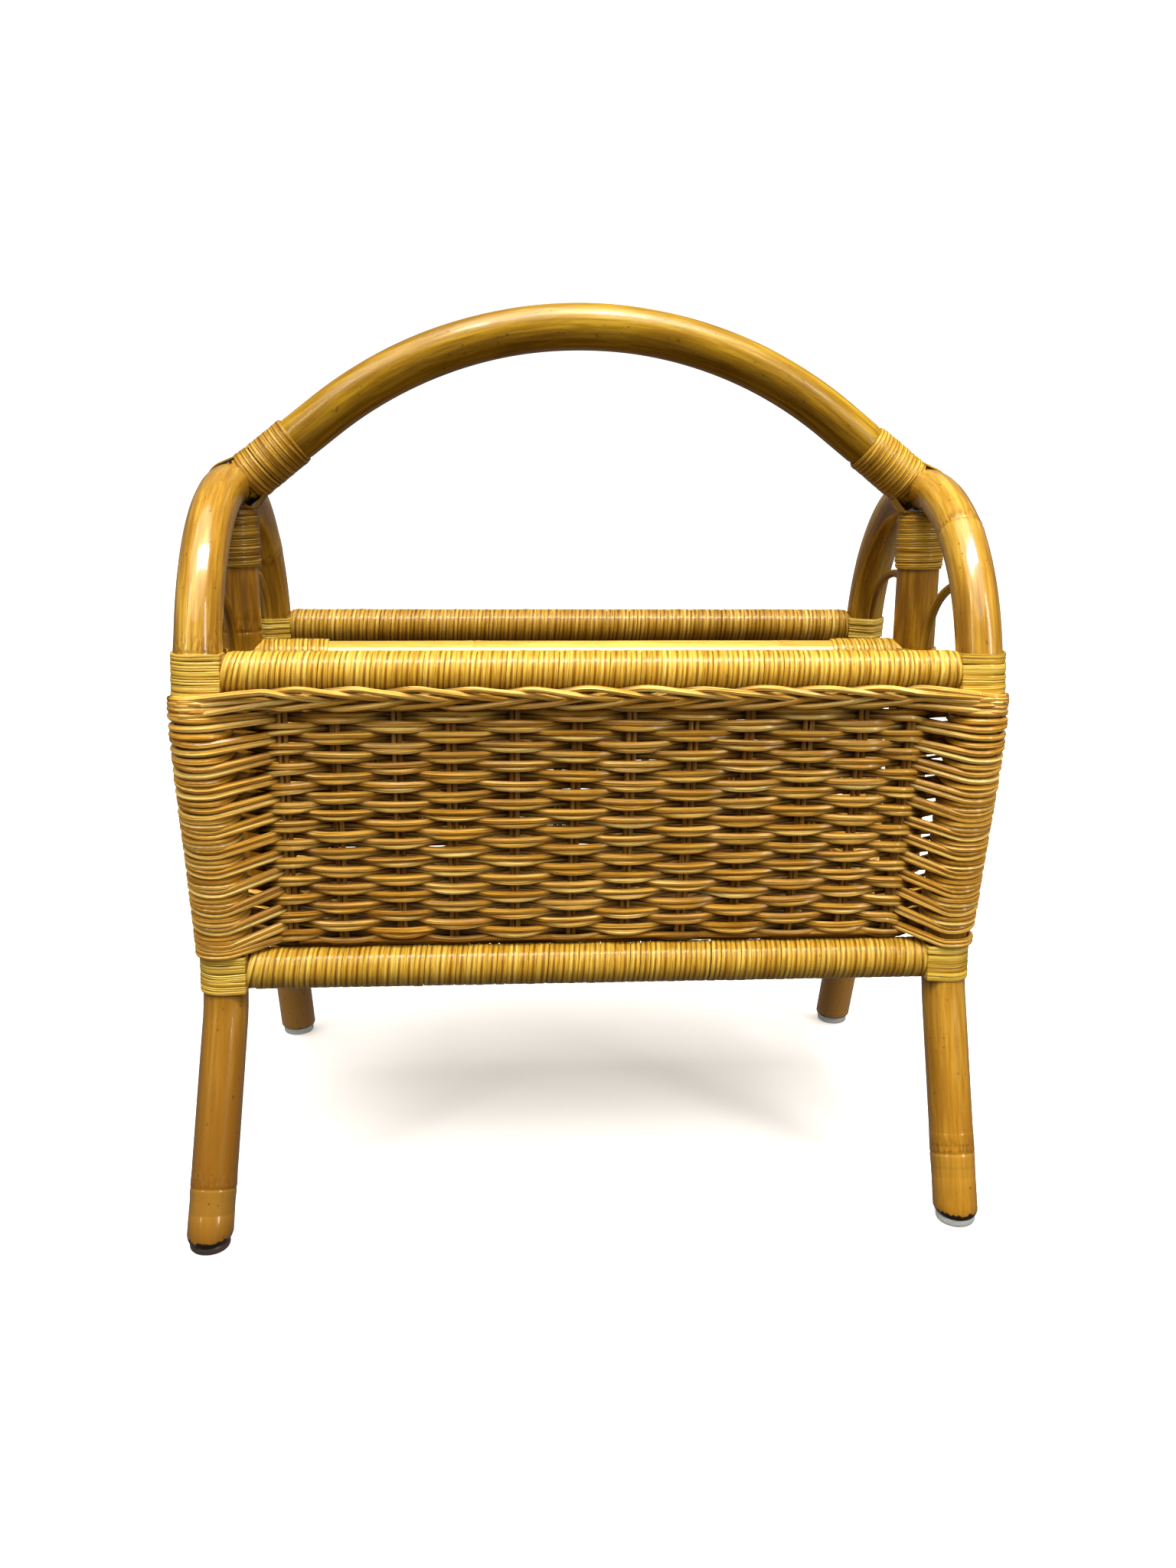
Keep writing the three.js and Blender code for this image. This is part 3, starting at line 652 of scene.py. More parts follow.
# %% [markdown]
# ## Posts and rails
#
# The posts, the cross rails and the middle rail are straight. They run into the poles that they meet, as
# the real ones are cut to fit round them, and cane hides the joints.

# %% Draw the straight poles
arch_top_height = arch_centre_height + arch_radius
cross_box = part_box("bottom_cross_rail_left")
cross_height = sum(corner[2] for corner in cross_box) / mm / 2
cross_half = cross_box[1][1] / mm
cross_radius = 9.0
post_foot, post_top = (corner[2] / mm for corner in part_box("center_post_left"))
post_radius = 12.25
post_joints = {"left": [150.0], "right": [96.0]}
rail_radius = 10.0
top_rail_height = 301.0
top_rail_y = pole_y(top_rail_height)
bottom_rail_y = pole_y(bend_height)
middle_radius = 10.3
middle_rail_height = 294.0
middle_joints = [136.0, 318.0]

for side, sign in both_sides:
    x = sign * half_width
    pole(f"post_{side}", [(x, 0, post_foot), (x, 0, post_top)], post_radius, post_joints[side], post_material,
         f"center_post_{side}")
    cross_line = [(x, -cross_half, cross_height), (x, cross_half, cross_height)]
    pole(f"cross_rail_{side}", cross_line, cross_radius, [], post_material, f"bottom_cross_rail_{side}",
         sides=16)
middle_line = [(-half_width, 0, middle_rail_height), (half_width, 0, middle_rail_height)]
pole("middle_rail_pole", middle_line, middle_radius, middle_joints, pale_pole_material, "middle_rail")

# %% [markdown]
# ## The handle
#
# The handle is one pole bent into a bow between two straight ends, which rest on top of the arches. It is
# thinner at both ends, where its windings sit.

# %% Draw the handle
handle_radius = 12.75
handle_neck_radius = 11.0
handle_slope = math.radians(37.5)
handle_straight = 68.0
handle_seat_sink = 3.0
handle_neck_length = 46.0
handle_start = 2.0
bow_end_x = half_width - handle_straight * math.cos(handle_slope)
bow_radius = bow_end_x / math.sin(handle_slope)
seat_height = arch_top_height - handle_seat_sink
bow_end_height = seat_height + handle_straight * math.sin(handle_slope)
bow_centre = (0.0, bow_end_height - bow_radius * math.cos(handle_slope))
neck = handle_neck_radius / handle_radius
handle_ends = ((0, 1.0), (9, 1.0), (14, neck), (handle_neck_length - 12, neck), (handle_neck_length, 1.0))


def handle_point(side, distance):
    """A point on the handle's straight end, at a distance from the arch's centre line."""
    x = side * (half_width - distance * math.cos(handle_slope))
    return np.array([x, 0, seat_height + distance * math.sin(handle_slope)])


bow = arc(bow_centre, bow_radius, math.pi / 2 + handle_slope, math.pi / 2 - handle_slope, 48)
handle_line = [handle_point(-1, handle_start), *[(x, 0, z) for x, z in bow], handle_point(1, handle_start)]
pole("handle_bow", handle_line, handle_radius, [], handle_material, "handle", slot="handle_pole",
     ends=handle_ends)

# %% [markdown]
# ## Cane and reed finishes
#
# Flat cane is the shiny bark of rattan, split into strips. It is paler than the poles, with fine grooves
# along each strip, and its edges are darkened with painted shade where the strips meet. Some of it is
# browner. Round reed is the core of the plant: a little duller and browner, with long fibres, and it is
# painted almost black with shade in the crevices of the weave, which a crevice attribute marks. The stakes
# are the same reed with little varnish, and look darker.

# %% Mix cane, reed and stake finishes
def strand_finish(name, dark, middle, pale, shine, coat, grooves, edge=0.0, far_edge=0.5, rim=0.09,
                  lively=1.0, paint_crevice_shade=False):
    """edge is how dark the strip's two edges are painted, as shade where strips meet. They lie at the start
    and at far_edge of the way round it, and are as wide as rim. lively is how much the colour changes."""
    board = Board(name)
    along, around = board.along_and_round()
    fibre = board.noise(board.grain_place(5.0), grooves, 4.0, 0.65)
    fine = board.noise(board.grain_place(7.0), grooves * 3.5, 2.0, 0.5)
    cloud = board.noise(board.grain_place(22.0), 0.8, 2.0, 0.5)
    streak = fibre.rise(0.36, 0.64)
    groove = fine.rise(0.55, 0.66)
    tone = cloud.rise(0.25, 0.75) * 0.34 + board.attribute("tone") * 0.24 + streak * 0.32 + 0.05
    colour = board.shades(tone * lively + 0.52 * (1 - lively), dark, middle, pale, low=0.14, high=0.86)
    colour = board.blend(groove * 0.4, colour, dark)
    # Painted shade: the dark lines at the strip's edges stand in for the shade in the seams between strips.
    if edge:
        seam_shade = around.bell(0.0, rim) + around.bell(far_edge, rim) + around.bell(1.0, rim)
        colour = board.blend(seam_shade * edge, colour, dark)
    speck = board.noise(board.grain_place(90.0), 3.2, 1.0, 0.5).rise(0.76, 0.79) * 0.6
    colour = board.blend(speck, colour, rgb(0.07, 0.03, 0.004))
    normal = board.bump(streak * 0.5 - groove * 0.6, 0.0003, 0.8)
    rough = streak * 0.14 + shine
    # Painted shade: where the crevice attribute marks shade, strands are painted near black, made rougher and
    # lose their coat.
    if paint_crevice_shade:
        crevice_shade = board.attribute("crevice_shade")
        colour = board.blend(crevice_shade * 0.93, colour, rgb(0.032, 0.006, 0.0002))
        rough = rough + crevice_shade * 0.3
        coat = coat - crevice_shade * coat
    return board.finish(colour, rough, normal, coat, blur=0.2, specular=0.35, tint=(1.0, 0.82, 0.5))


cane_material = strand_finish(
    "flat_cane", dark=rgb(0.19, 0.075, 0.003), middle=rgb(0.59, 0.335, 0.036), pale=rgb(0.88, 0.69, 0.18),
    shine=0.27, coat=0.3, grooves=4.0, edge=0.9, rim=0.055, lively=0.5,
)
brown_cane_material = strand_finish(
    "brown_cane", dark=rgb(0.14, 0.054, 0.002), middle=rgb(0.43, 0.23, 0.022), pale=rgb(0.74, 0.53, 0.13),
    shine=0.27, coat=0.3, grooves=4.0, edge=0.9, rim=0.055, lively=0.6,
)
band_material = strand_finish(
    "band_cane", dark=rgb(0.26, 0.11, 0.006), middle=rgb(0.70, 0.44, 0.055), pale=rgb(0.94, 0.76, 0.22),
    shine=0.28, coat=0.35, grooves=1.6, edge=0.5, far_edge=0.8, lively=0.8,
)
dark_cane_material = strand_finish(
    "dark_cane", dark=rgb(0.10, 0.040, 0.002), middle=rgb(0.36, 0.19, 0.018), pale=rgb(0.66, 0.46, 0.09),
    shine=0.27, coat=0.3, grooves=3.0, edge=0.8,
)
reed_material = strand_finish(
    "round_reed", dark=rgb(0.17, 0.050, 0.003), middle=rgb(0.66, 0.330, 0.034), pale=rgb(1.0, 0.80, 0.29),
    shine=0.24, coat=0.5, grooves=2.2, lively=0.78, paint_crevice_shade=True,
)
stake_material = strand_finish(
    "stake_reed", dark=rgb(0.10, 0.034, 0.004), middle=rgb(0.30, 0.145, 0.026), pale=rgb(0.50, 0.29, 0.08),
    shine=0.42, coat=0.1, grooves=2.0,
)
loop_material = strand_finish(
    "loop_rod", dark=rgb(0.13, 0.05, 0.003), middle=rgb(0.38, 0.19, 0.012), pale=rgb(0.60, 0.36, 0.042),
    shine=0.27, coat=0.3, grooves=1.4,
)
print("materials so far:", len(bpy.data.materials))

# %% [markdown]
# ## Wound cane
#
# A close winding is one strip that climbs round a pole. The Screw modifier does exactly that: it turns a
# section about an axis and moves it along at the same time. The section starts as a circle, squashed into a
# strip with soft edges, so that a dark groove is left between the turns. A perfect screw looks like a
# machine part, so the turns are then pushed about a little, along the pole and outwards, by slow random
# wobbles. At both ends one more turn goes straight round, so that the winding ends squarely.

# %% Shape and map a wound strip
strip_corners = 12
winding_steps = 24
end_depth = 0.3


def squash_to_strip(across, up, width, thickness):
    """Moves a point of a unit circle to the edge of a rounded strip that lies on its pole."""
    wide = math.copysign(abs(across) ** 0.5, across) * width / 2
    high = (math.copysign(abs(up) ** 0.6, up) + 1) * thickness / 2
    return wide, high


def map_winding(piece, radius):
    """Metres along the strip and the share of the way round its section, and a tone for each turn."""
    mesh = piece.data
    layer = mesh.uv_layers.new(name="UVMap")
    corners = np.zeros(len(mesh.loops), int)
    mesh.loops.foreach_get("vertex_index", corners)
    ring, corner = np.divmod(corners, strip_corners)
    face_last = np.repeat((corner.reshape(-1, 4) == strip_corners - 1).any(axis=1), 4)
    around = np.where(face_last & (corner == 0), strip_corners, corner) / strip_corners
    along = ring * 2 * math.pi * radius * mm / winding_steps
    layer.data.foreach_set("uv", np.column_stack([along, around]).ravel())
    rings = len(mesh.vertices) // strip_corners
    shades = chance.random(rings // winding_steps + 2)
    turn = np.arange(rings) / winding_steps
    share = np.interp(turn % 1.0, [0.0, 0.2, 1.0], [0.0, 1.0, 1.0])
    number = turn.astype(int)
    tone = shades[number] * (1 - share) + shades[number + 1] * share
    mark(piece, "tone", np.repeat(tone, strip_corners))


def loosen(piece, radius, pitch, turns, wobble):
    """Pushes the turns along the pole and outwards a little, varies their width and squares the ends."""
    mesh = piece.data
    places = np.zeros(len(mesh.vertices) * 3)
    mesh.vertices.foreach_get("co", places)
    places = places.reshape(-1, strip_corners, 3)
    rings = len(places)
    middle = places[:, :, 0].mean(axis=1, keepdims=True)
    widen = 1 + wander(rings, 0.03, winding_steps)[:, None]
    turn = np.arange(rings) / winding_steps
    screwed = np.clip(turn - 1, 0, turns)
    places[:, :, 0] = (places[:, :, 0] - middle) * widen + (screwed * pitch * mm)[:, None]
    places[:, :, 0] += (wander(rings, wobble, winding_steps) * mm)[:, None]
    deeper = np.where((turn < 1) | (turn > turns + 1), end_depth, 0)
    out = 1 + (np.abs(wander(rings, wobble * 0.9, winding_steps // 2)) - deeper) / radius
    places[:, :, 1:] *= out[:, None, None]
    mesh.vertices.foreach_set("co", places.ravel())


def close_winding(piece):
    """Fills the two open ends of the strip."""
    only(piece)
    bpy.ops.object.mode_set(mode="EDIT")
    bpy.ops.mesh.select_mode(type="EDGE")
    bpy.ops.mesh.select_all(action="DESELECT")
    bpy.ops.mesh.select_non_manifold()
    bpy.ops.mesh.edge_face_add()
    bpy.ops.mesh.select_all(action="SELECT")
    bpy.ops.mesh.normals_make_consistent(inside=False)
    bpy.ops.mesh.select_mode(type="VERT")
    bpy.ops.object.mode_set(mode="OBJECT")


# %% Wind a strip round a straight pole
def turn_to(piece, start, direction, first):
    """Turns a piece made along X to another direction, moves it to its start and applies both."""
    aim = Vector((1, 0, 0)).rotation_difference(Vector(direction).normalized()).to_matrix().to_4x4()
    piece.matrix_world = Matrix.Translation(Vector(start) * mm) @ aim @ Matrix.Rotation(first, 4, "X")
    only(piece)
    bpy.ops.object.transform_apply(location=True, rotation=True, scale=True)


def wind(name, start, direction, radius, pitch, turns, width, thickness, wobble, first, hand=1):
    """A strip wound from start along direction over a number of pitches. first turns its beginning."""
    start_fresh()
    bpy.ops.mesh.primitive_circle_add(vertices=strip_corners, radius=1, fill_type="NOTHING", calc_uvs=False)
    piece = bpy.context.object
    piece.name = name
    for vertex in piece.data.vertices:
        across, up = squash_to_strip(vertex.co.x, vertex.co.y, width, thickness)
        vertex.co = (across * mm, 0, (radius + up) * mm)
    screw = piece.modifiers.new("winding", "SCREW")
    screw.axis = "X"
    screw.angle = 2 * math.pi * hand
    screw.screw_offset = pitch * mm
    screw.iterations = turns + 2
    screw.steps = screw.render_steps = winding_steps
    screw.use_merge_vertices = False
    bpy.ops.object.modifier_apply(modifier=screw.name)
    map_winding(piece, radius)
    loosen(piece, radius, pitch, turns, wobble)
    close_winding(piece)
    turn_to(piece, start, direction, first)
    bpy.ops.object.shade_smooth_by_angle(angle=crease_angle)
    print(f"{name}: {turns} turns, {len(piece.data.polygons)} faces")
    return piece


# %% [markdown]
# ## The four long windings
#
# The top and bottom rails are wound from leg to leg. At the left end of the front rails the last turns were
# pulled over the tie, so they lean. The rails inside get a dark finish, because only slits of them could
# show.

# %% Wind the four long rails
rail_cane_bed = rail_radius + fit_gap
rail_cane_thickness = 1.0
rail_cane_first = math.pi * 0.7
winding_end = half_width - pole_radius - 2 * fit_gap
rail_lines = {"top": (top_rail_y, top_rail_height, 71), "bottom": (bottom_rail_y, bend_height, 66)}
end_lean = 2.4
end_lean_reach = 13.0


def lean_end(piece, axis_height):
    """Leans the turns at the left end, less and less away from it."""
    for vertex in piece.data.vertices:
        share = math.exp(-max(vertex.co.x / mm + winding_end, 0) / end_lean_reach)
        vertex.co.x += end_lean * share * (vertex.co.z - axis_height * mm) / rail_cane_bed


for facing, y_sign in both_faces:
    for level, (y, z, turns) in rail_lines.items():
        pitch = 2 * winding_end / (turns + 1)
        start = (winding_end - pitch / 2, y_sign * y, z)
        piece = wind(f"{facing}_{level}_cane", start, (-1, 0, 0), rail_cane_bed, pitch, turns, pitch,
                     rail_cane_thickness, wobble=0.1, first=rail_cane_first, hand=-1)
        if facing == "front":
            lean_end(piece, z)
        finish = cane_material if facing == "front" else brown_cane_material
        dress(piece, finish, f"{facing}_{level}_winding", slot="flat_cane")
        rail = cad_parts[f"{facing}_{level}_rail"]
        rail.data.materials.clear()
        rail.data.materials.append(stake_material)

# %% [markdown]
# ## The short windings
#
# Narrower cane is wound round the handle's ends, over the straps that hold it, round the tops of the posts
# and round both ends of the middle rail. The turns on the handle overlap a little. At the left, those on
# the handle and on the post are darker.

# %% Wind handle, posts and middle rail
handle_turns = {"left": 10, "right": 12}
handle_reach = {"left": 32.0, "right": 31.0}
handle_cane_start = 12.5
handle_cane_bed = handle_neck_radius + 1.7
handle_cane_thickness = 1.2
handle_cane_overlap = 1.14
short_cane_lift = 0.2
post_cane_start = post_top - 2.5
post_cane_pitch = 2.5
post_cane_width = 2.6
post_cane_thickness = 1.3
post_turns = 11
middle_cane_start = half_width - post_radius - 2.6
middle_cane_pitch = 4.8
middle_cane_thickness = 1.1
middle_turns = 7

for side, sign in both_sides:
    inward = (-sign * math.cos(handle_slope), 0, math.sin(handle_slope))
    pitch = handle_reach[side] / handle_turns[side]
    piece = wind(f"handle_cane_{side}", handle_point(sign, handle_cane_start), inward, handle_cane_bed, pitch,
                 handle_turns[side], pitch * handle_cane_overlap, handle_cane_thickness, wobble=0.25,
                 first=math.pi / 2)
    finish = brown_cane_material if sign < 0 else cane_material
    dress(piece, finish, f"handle_winding_{side}", slot="flat_cane")
    piece = wind(f"post_cane_{side}", (sign * half_width, 0, post_cane_start), (0, 0, -1),
                 post_radius + short_cane_lift, post_cane_pitch, post_turns, post_cane_width,
                 post_cane_thickness, wobble=0.3, first=math.pi)
    finish = dark_cane_material if sign < 0 else cane_material
    dress(piece, finish, f"post_winding_{side}", slot="flat_cane")
    piece = wind(f"middle_cane_{side}", (sign * middle_cane_start, 0, middle_rail_height), (-sign, 0, 0),
                 middle_radius + short_cane_lift, middle_cane_pitch, middle_turns, middle_cane_pitch,
                 middle_cane_thickness, wobble=0.15, first=math.pi)
    dress(piece, cane_material, f"middle_winding_{side}", slot="flat_cane")

# %% [markdown]
# ## The line of the woven shell
#
# Front, base and back are one woven shell. Seen from the side it is a single line: down the front arches,
# round a small corner, along the base and up the back. A place on the shell is then just a distance along
# that line, plus how far it stands outwards. The helper called shell gives both.

# %% The line of the shell
weave_top = 285.0
stake_top = 289.2
base_height = 148.4
corner_radius = 10.0
shell_step = 0.5
corner_y = tangent_y - (tangent_height - base_height) * math.tan(basket_lean)
corner_centre_y = corner_y - corner_radius * math.tan((math.pi / 2 - basket_lean) / 2)
corner_centre = (-corner_centre_y, base_height + corner_radius)


def rise_angle(height):
    return math.asin((height - arch_centre_height) / arch_radius)


shell_half = (
    arc((0.0, arch_centre_height), arch_radius, math.pi - rise_angle(stake_top), math.pi + basket_lean, 24)
    + arc(corner_centre, corner_radius, math.pi + basket_lean, 1.5 * math.pi, 16)
)
shell_line = even(shell_half + [(-y, z) for y, z in reversed(shell_half)], shell_step)
shell_along = lengths(shell_line)
shell_slope = np.gradient(shell_line, shell_along, axis=0)
weave_start = arch_radius * (rise_angle(stake_top) - rise_angle(weave_top))
corner_end = lengths(shell_half)[-1]


def shell(along, out=0.0):
    """Y and Z of places on the shell, some way outwards from its middle."""
    y, z = (np.interp(along, shell_along, shell_line[:, k]) for k in range(2))
    slope_y, slope_z = (np.interp(along, shell_along, shell_slope[:, k]) for k in range(2))
    return y + out * slope_z, z - out * slope_y


print("the shell is", round(shell_along[-1]), "mm from rim to rim")

# %% [markdown]
# ## Stakes
#
# Twelve pairs of thin rods run from rim to rim. The maker set them by eye: they lean a little, mostly to
# the right, and more at the top than at the bottom.

# %% Draw the stakes
stake_count = 12
stake_edge = 37.75
stake_radius = 1.4
rod_offset = 1.5
stake_points = 90
stake_even = np.linspace(stake_edge - half_width, half_width - stake_edge, stake_count)
top_sway = np.array([3.0, -0.3, 1.3, -0.6, 2.5, 5.4, 3.8, 6.6, 6.4, 7.6, 7.0, 2.6])
base_sway = np.array([0.0, -2.4, 0.0, -1.3, 2.0, 3.4, 3.1, 4.8, 4.2, 6.0, 6.0, 3.4])


def stake_across(along):
    """X of all twelve stakes at places along the shell."""
    height = np.clip(shell(np.asarray(along, float))[1], base_height, weave_top)
    share = (height - base_height) / (weave_top - base_height)
    return stake_even + base_sway + np.multiply.outer(share, top_sway - base_sway)


def stake_rod(x, y, z, side):
    """One rod of a pair, with its own wobble."""
    beside = x + side * (rod_offset + wander(stake_points, 0.16, 8))
    return np.column_stack([beside, y + wander(stake_points, 0.12, 8), z])


for number in range(stake_count):
    along = np.linspace(0, shell_along[-1], stake_points)
    y, z = shell(along)
    x = stake_across(along)[:, number]
    pair = [stake_rod(x, y, z, side) for side in (-1, 1)]
    thickness = [1 + wander(stake_points, 0.04, 6) for rod in pair]
    piece = draw(f"stake_pair_{number + 1:02d}", pair, stake_radius, scales=thickness)
    dress(piece, stake_material, f"stake_{number + 1:02d}", slot="wicker_stake")

# %% [markdown]
# ## Weaving
#
# Two strands of round reed go side by side through the stakes: in front of one pair, behind the next. At
# the end of a row they pass behind the pole, come round it to the front, often with an extra turn that
# fills the space, and set off for the next row. So a strand has three kinds of stretches: a row, a turn
# round the pole, and a short straight bit that joins them. Both strands of a row share one slow wobble,
# because they are pushed down together, and they close up where they slip between two stakes.

# %% Rows of reed
reed_radius = 1.65
reed_offset = 1.6
weave_swing = 2.85
swing_power = 0.72
crossing_shift = 0.8
crossing_pinch = 0.22
row_sway = 0.32
row_steps = np.arange(0, stake_count - 1 + 0.01, 0.25)


def row_points(number, place, strand, direction, turned, sway):
    """One strand of one row, as X, outward offset and distance along the shell. sway is the wobble that both
    strands of the row share."""
    stakes = stake_across(place)
    across = np.interp(row_steps, np.arange(stake_count), -stakes[::-1] if turned else stakes)
    phase = np.cos(math.pi * (row_steps + number))
    phase = np.sign(phase) * np.abs(phase) ** swing_power
    crossing = 1 - np.abs(phase)
    out = weave_swing * phase - strand * crossing_shift * crossing + wander(len(row_steps), 0.12, 4)
    beside = strand * reed_offset * (1 - crossing_pinch * crossing)
    along = place + sway + beside + wander(len(row_steps), 0.12, 5)
    return np.column_stack([across, out, along])[::direction]


def row_side(number):
    """Odd rows end at the right, even rows at the left, before rows are turned round for the rear."""
    return 1 if number % 2 else -1


def on_shell(place):
    """A point in space for X, outward offset and distance along the shell."""
    y, z = shell(place[2], place[1])
    return np.array([place[0], y, z])


def off_the_rail(points):
    """Lifts strands that would run through the bottom rails until they lie on them."""
    away = np.column_stack([np.abs(points[:, 1]) - bottom_rail_y, points[:, 2] - bend_height])
    apart = np.linalg.norm(away, axis=1)
    bed = rail_cane_bed + rail_cane_thickness + reed_radius
    lift = np.where((apart < bed) & (np.abs(points[:, 0]) < winding_end), bed / np.maximum(apart, 1), 1)
    lifted = points.copy()
    lifted[:, 1] = np.sign(points[:, 1]) * (bottom_rail_y + away[:, 0] * lift)
    lifted[:, 2] = bend_height + away[:, 1] * lift
    return lifted


# %% Turns and whole panels
wrap_radius = pole_radius + reed_radius + 0.35
turn_start = math.radians(244.6)
turn_stop = math.radians(25.4)
turn_step = math.radians(18)
last_stake_reach = 13.0
reed_step = 3.6


def turn_points(side, levels, radius, rise):
    """A strand's way round the pole: angles run from the inner side, past the outside, to the front."""
    passes = math.pi * (0.5 + 2 * np.arange(1, len(levels) + 1))
    last = passes[-1] + turn_stop
    angles = np.linspace(turn_start, last, 1 + math.ceil((last - turn_start) / turn_step))
    spots = np.concatenate([[turn_start], passes])
    heights = np.interp(angles, spots, np.concatenate([[levels[0] + rise], levels]))
    return np.column_stack([side * radius * np.cos(angles), radius * np.sin(angles), heights])


def between(start, stop):
    """Three points on the straight way between two others."""
    return np.linspace(start, stop, 5)[1:-1]


def weave(row_places, levels_at, rise, on_pole, radius, turned=False):
    """Two strands through all rows. levels_at(row, strand) lists the levels at which a strand passes the
    pole's front after that row. It starts rise above the first of them, or below it where rise is negative.
    on_pole turns X, outward offset and level at a pole into a point. Without levels, a strand comes back
    round the last stake."""
    runs = []
    sways = [wander(len(row_steps), row_sway, 4) for place in row_places]
    for strand in (-1, 1):
        rows = [
            row_points(number, place, strand, row_side(number), turned, sways[number])
            for number, place in enumerate(row_places)
        ]
        points = []
        for number in range(-1, len(rows) - 1):
            side = row_side(number)
            if number >= 0:
                y, z = shell(rows[number][:, 2], rows[number][:, 1])
                points.append(np.column_stack([rows[number][:, 0], y, z]))
            levels = levels_at(number, strand)
            if levels:
                turn = on_pole(side, turn_points(side, levels, radius, rise))
                if points:
                    points.append(between(points[-1][-1], turn[0]))
                points += [turn, between(turn[-1], on_shell(rows[number + 1][0]))]
            elif points:
                middle = (rows[number][-1] + rows[number + 1][0]) / 2 + (side * last_stake_reach, 0, 0)
                points.append(on_shell(middle)[None])
        y, z = shell(rows[-1][:, 2], rows[-1][:, 1])
        points.append(np.column_stack([rows[-1][:, 0], y, z]))
        runs.append(off_the_rail(even(smooth(np.vstack(points), 3), reed_step)))
    return runs


# %% [markdown]
# ## Front and rear panels
#
# On the poles the turns lie close together, three or four to every two rows, so they pile up faster than
# the rows and each row leaves the pole at a level of its own. In the nook between the basket's lower edge
# and the bottom rail, and behind the poles, lie more strands, which close the weave. Where reed dips in
# between the stakes, and in the nook above the bottom rail, shade is painted into its colour. That is
# marked here, and the finish does the rest.

# %% Plan the turns round the front poles
row_pitch = 5.45
row_count = 28
last_turned_row = 24
panel_rows = weave_start + row_pitch * np.arange(row_count)
panel_rise = -2.0
pole_pitch = 11.29
pole_first = {-1: 278.1, 1: 283.4}
pole_lowest = 149.2
pole_highest = 288.2
lowest_spread = 1.3
fuller_below = 5


def panel_levels(number, strand):
    """Levels at which the strands pass the pole's front, three to every two rows, or four further down."""
    side = row_side(number)
    turn = number // 2 + (side > 0)
    middle = pole_first[side] - pole_pitch * turn
    full = turn >= fuller_below
    step = pole_pitch / (4 if full else 3)
    if number > last_turned_row:
        return None
    if middle < pole_lowest:
        return [pole_lowest - strand * lowest_spread]
    own = [middle - strand * step / 2]
    if strand < 0:
        curl = [min(middle + step * (2.5 if full else 1.5), pole_highest)]
        if number == 0:
            curl = [middle + step * 2.5] + curl
        return curl + own
    return ([middle + step * 1.5] if full else []) + own


def round_arch(side, turn):
    """Places round the front pole of an arch, square to it at every level."""
    y = np.array([pole_y(level) for level in turn[:, 2]])
    tilt = np.array([pole_y(level + 1) - pole_y(level - 1) for level in turn[:, 2]]) / 2
    return np.column_stack([side * half_width + turn[:, 0], -y - turn[:, 1], turn[:, 2] - turn[:, 1] * tilt])


# %% Painted crevice shade and extra strands
crevice_shade_start = 2.0
crevice_shade_span = 4.2
crevice_shade_reach = 182.0
nook_top = 154.0
nook_shade = 0.85
fade = 6.0
pole_side = 183.0
thick_from = 205.0
nook_strands = ((9.0, 1.8), (5.6, 2.6), (2.6, 2.2), (-1.0, 1.4))
nook_reach = 163.0
tuck_across = np.arange(158.0, 200.1, 6.0)
tuck_line = ((158.0, -2.6), (170.0, -3.6), (186.0, -10.5), (194.0, -13.4), (200.0, -wrap_radius))


def mark_crevice_shade(piece):
    """Marks painted shade where reed dips in between the stakes, and in the nook above the bottom rail."""
    x, y, z = places_of(piece).T
    heights = [height for _, height in front_half]
    wall = (np.abs(y) - np.interp(z, heights, [-reach for reach, _ in front_half])) * math.cos(basket_lean)
    out = np.where(z > base_height + corner_radius, wall, np.maximum(wall, base_height - z))
    deep = np.clip((crevice_shade_start - out) / crevice_shade_span, 0, 1)
    deep = np.maximum(deep, nook_shade * np.clip((nook_top - z) / fade, 0, 1))
    mark(piece, "crevice_shade", deep * np.clip((crevice_shade_reach - np.abs(x)) / fade, 0, 1))


def bulk(line):
    """Reed is a little thicker where it turns round the upper half of a pole and thinner lower down."""
    at_pole = np.clip((np.abs(line[:, 0]) - pole_side) / 8.0, 0, 1)
    high = np.clip((line[:, 2] - thick_from) / 30.0, 0, 1)
    return 1 + at_pole * (0.18 * high - 0.08) + wander(len(line), 0.05, 10)


def packing():
    """Straight strands that fill the nook, and short ones tucked in behind the poles."""
    across = np.arange(-nook_reach, nook_reach + 0.1, 4.0)
    runs = []
    for back, out in nook_strands:
        y, z = shell(corner_end - back + wander(len(across), 0.4, 6), out)
        runs.append(off_the_rail(np.column_stack([across + chance.uniform(-4, 4), y, z])))
    tuck = np.interp(tuck_across, *zip(*tuck_line))
    for place in panel_rows[:last_turned_row] + row_pitch / 2:
        for side in (-1, 1):
            y, z = shell(place + wander(len(tuck_across), 0.3, 3) + chance.uniform(-0.8, 0.8), tuck)
            runs.append(np.column_stack([side * tuck_across, y, z]))
    return runs


# %% Weave front and rear
for facing, y_sign in both_faces:
    panel = weave(panel_rows, panel_levels, panel_rise, round_arch, wrap_radius, turned=facing == "rear")
    panel += packing()
    if facing == "rear":
        panel = [line * (-1, -1, 1) for line in panel]
    thickness = [bulk(line) for line in panel]
    piece = draw(f"{facing}_weavers", panel, reed_radius, scales=thickness)
    mark_crevice_shade(piece)
    dress(piece, reed_material, f"{facing}_weave", slot="wicker")

# %% [markdown]
# ## The base
#
# The base is woven the same way, round the two cross rails. The foot of a post stands on the middle of each
# cross rail, so the turns there are bunched on both sides of it.

# %% Weave the base
base_reach = 70.5
base_row_count = 28
base_rise = -1.5
base_spread = 1.6
base_wrap_radius = cross_radius + reed_radius + 0.3
base_pitch = 2 * base_reach / (base_row_count - 1)
base_rows = shell_along[-1] / 2 + np.linspace(-base_reach, base_reach, base_row_count)
post_clear = 14.2
bunched_within = 22.0
bunched_width = 7.8


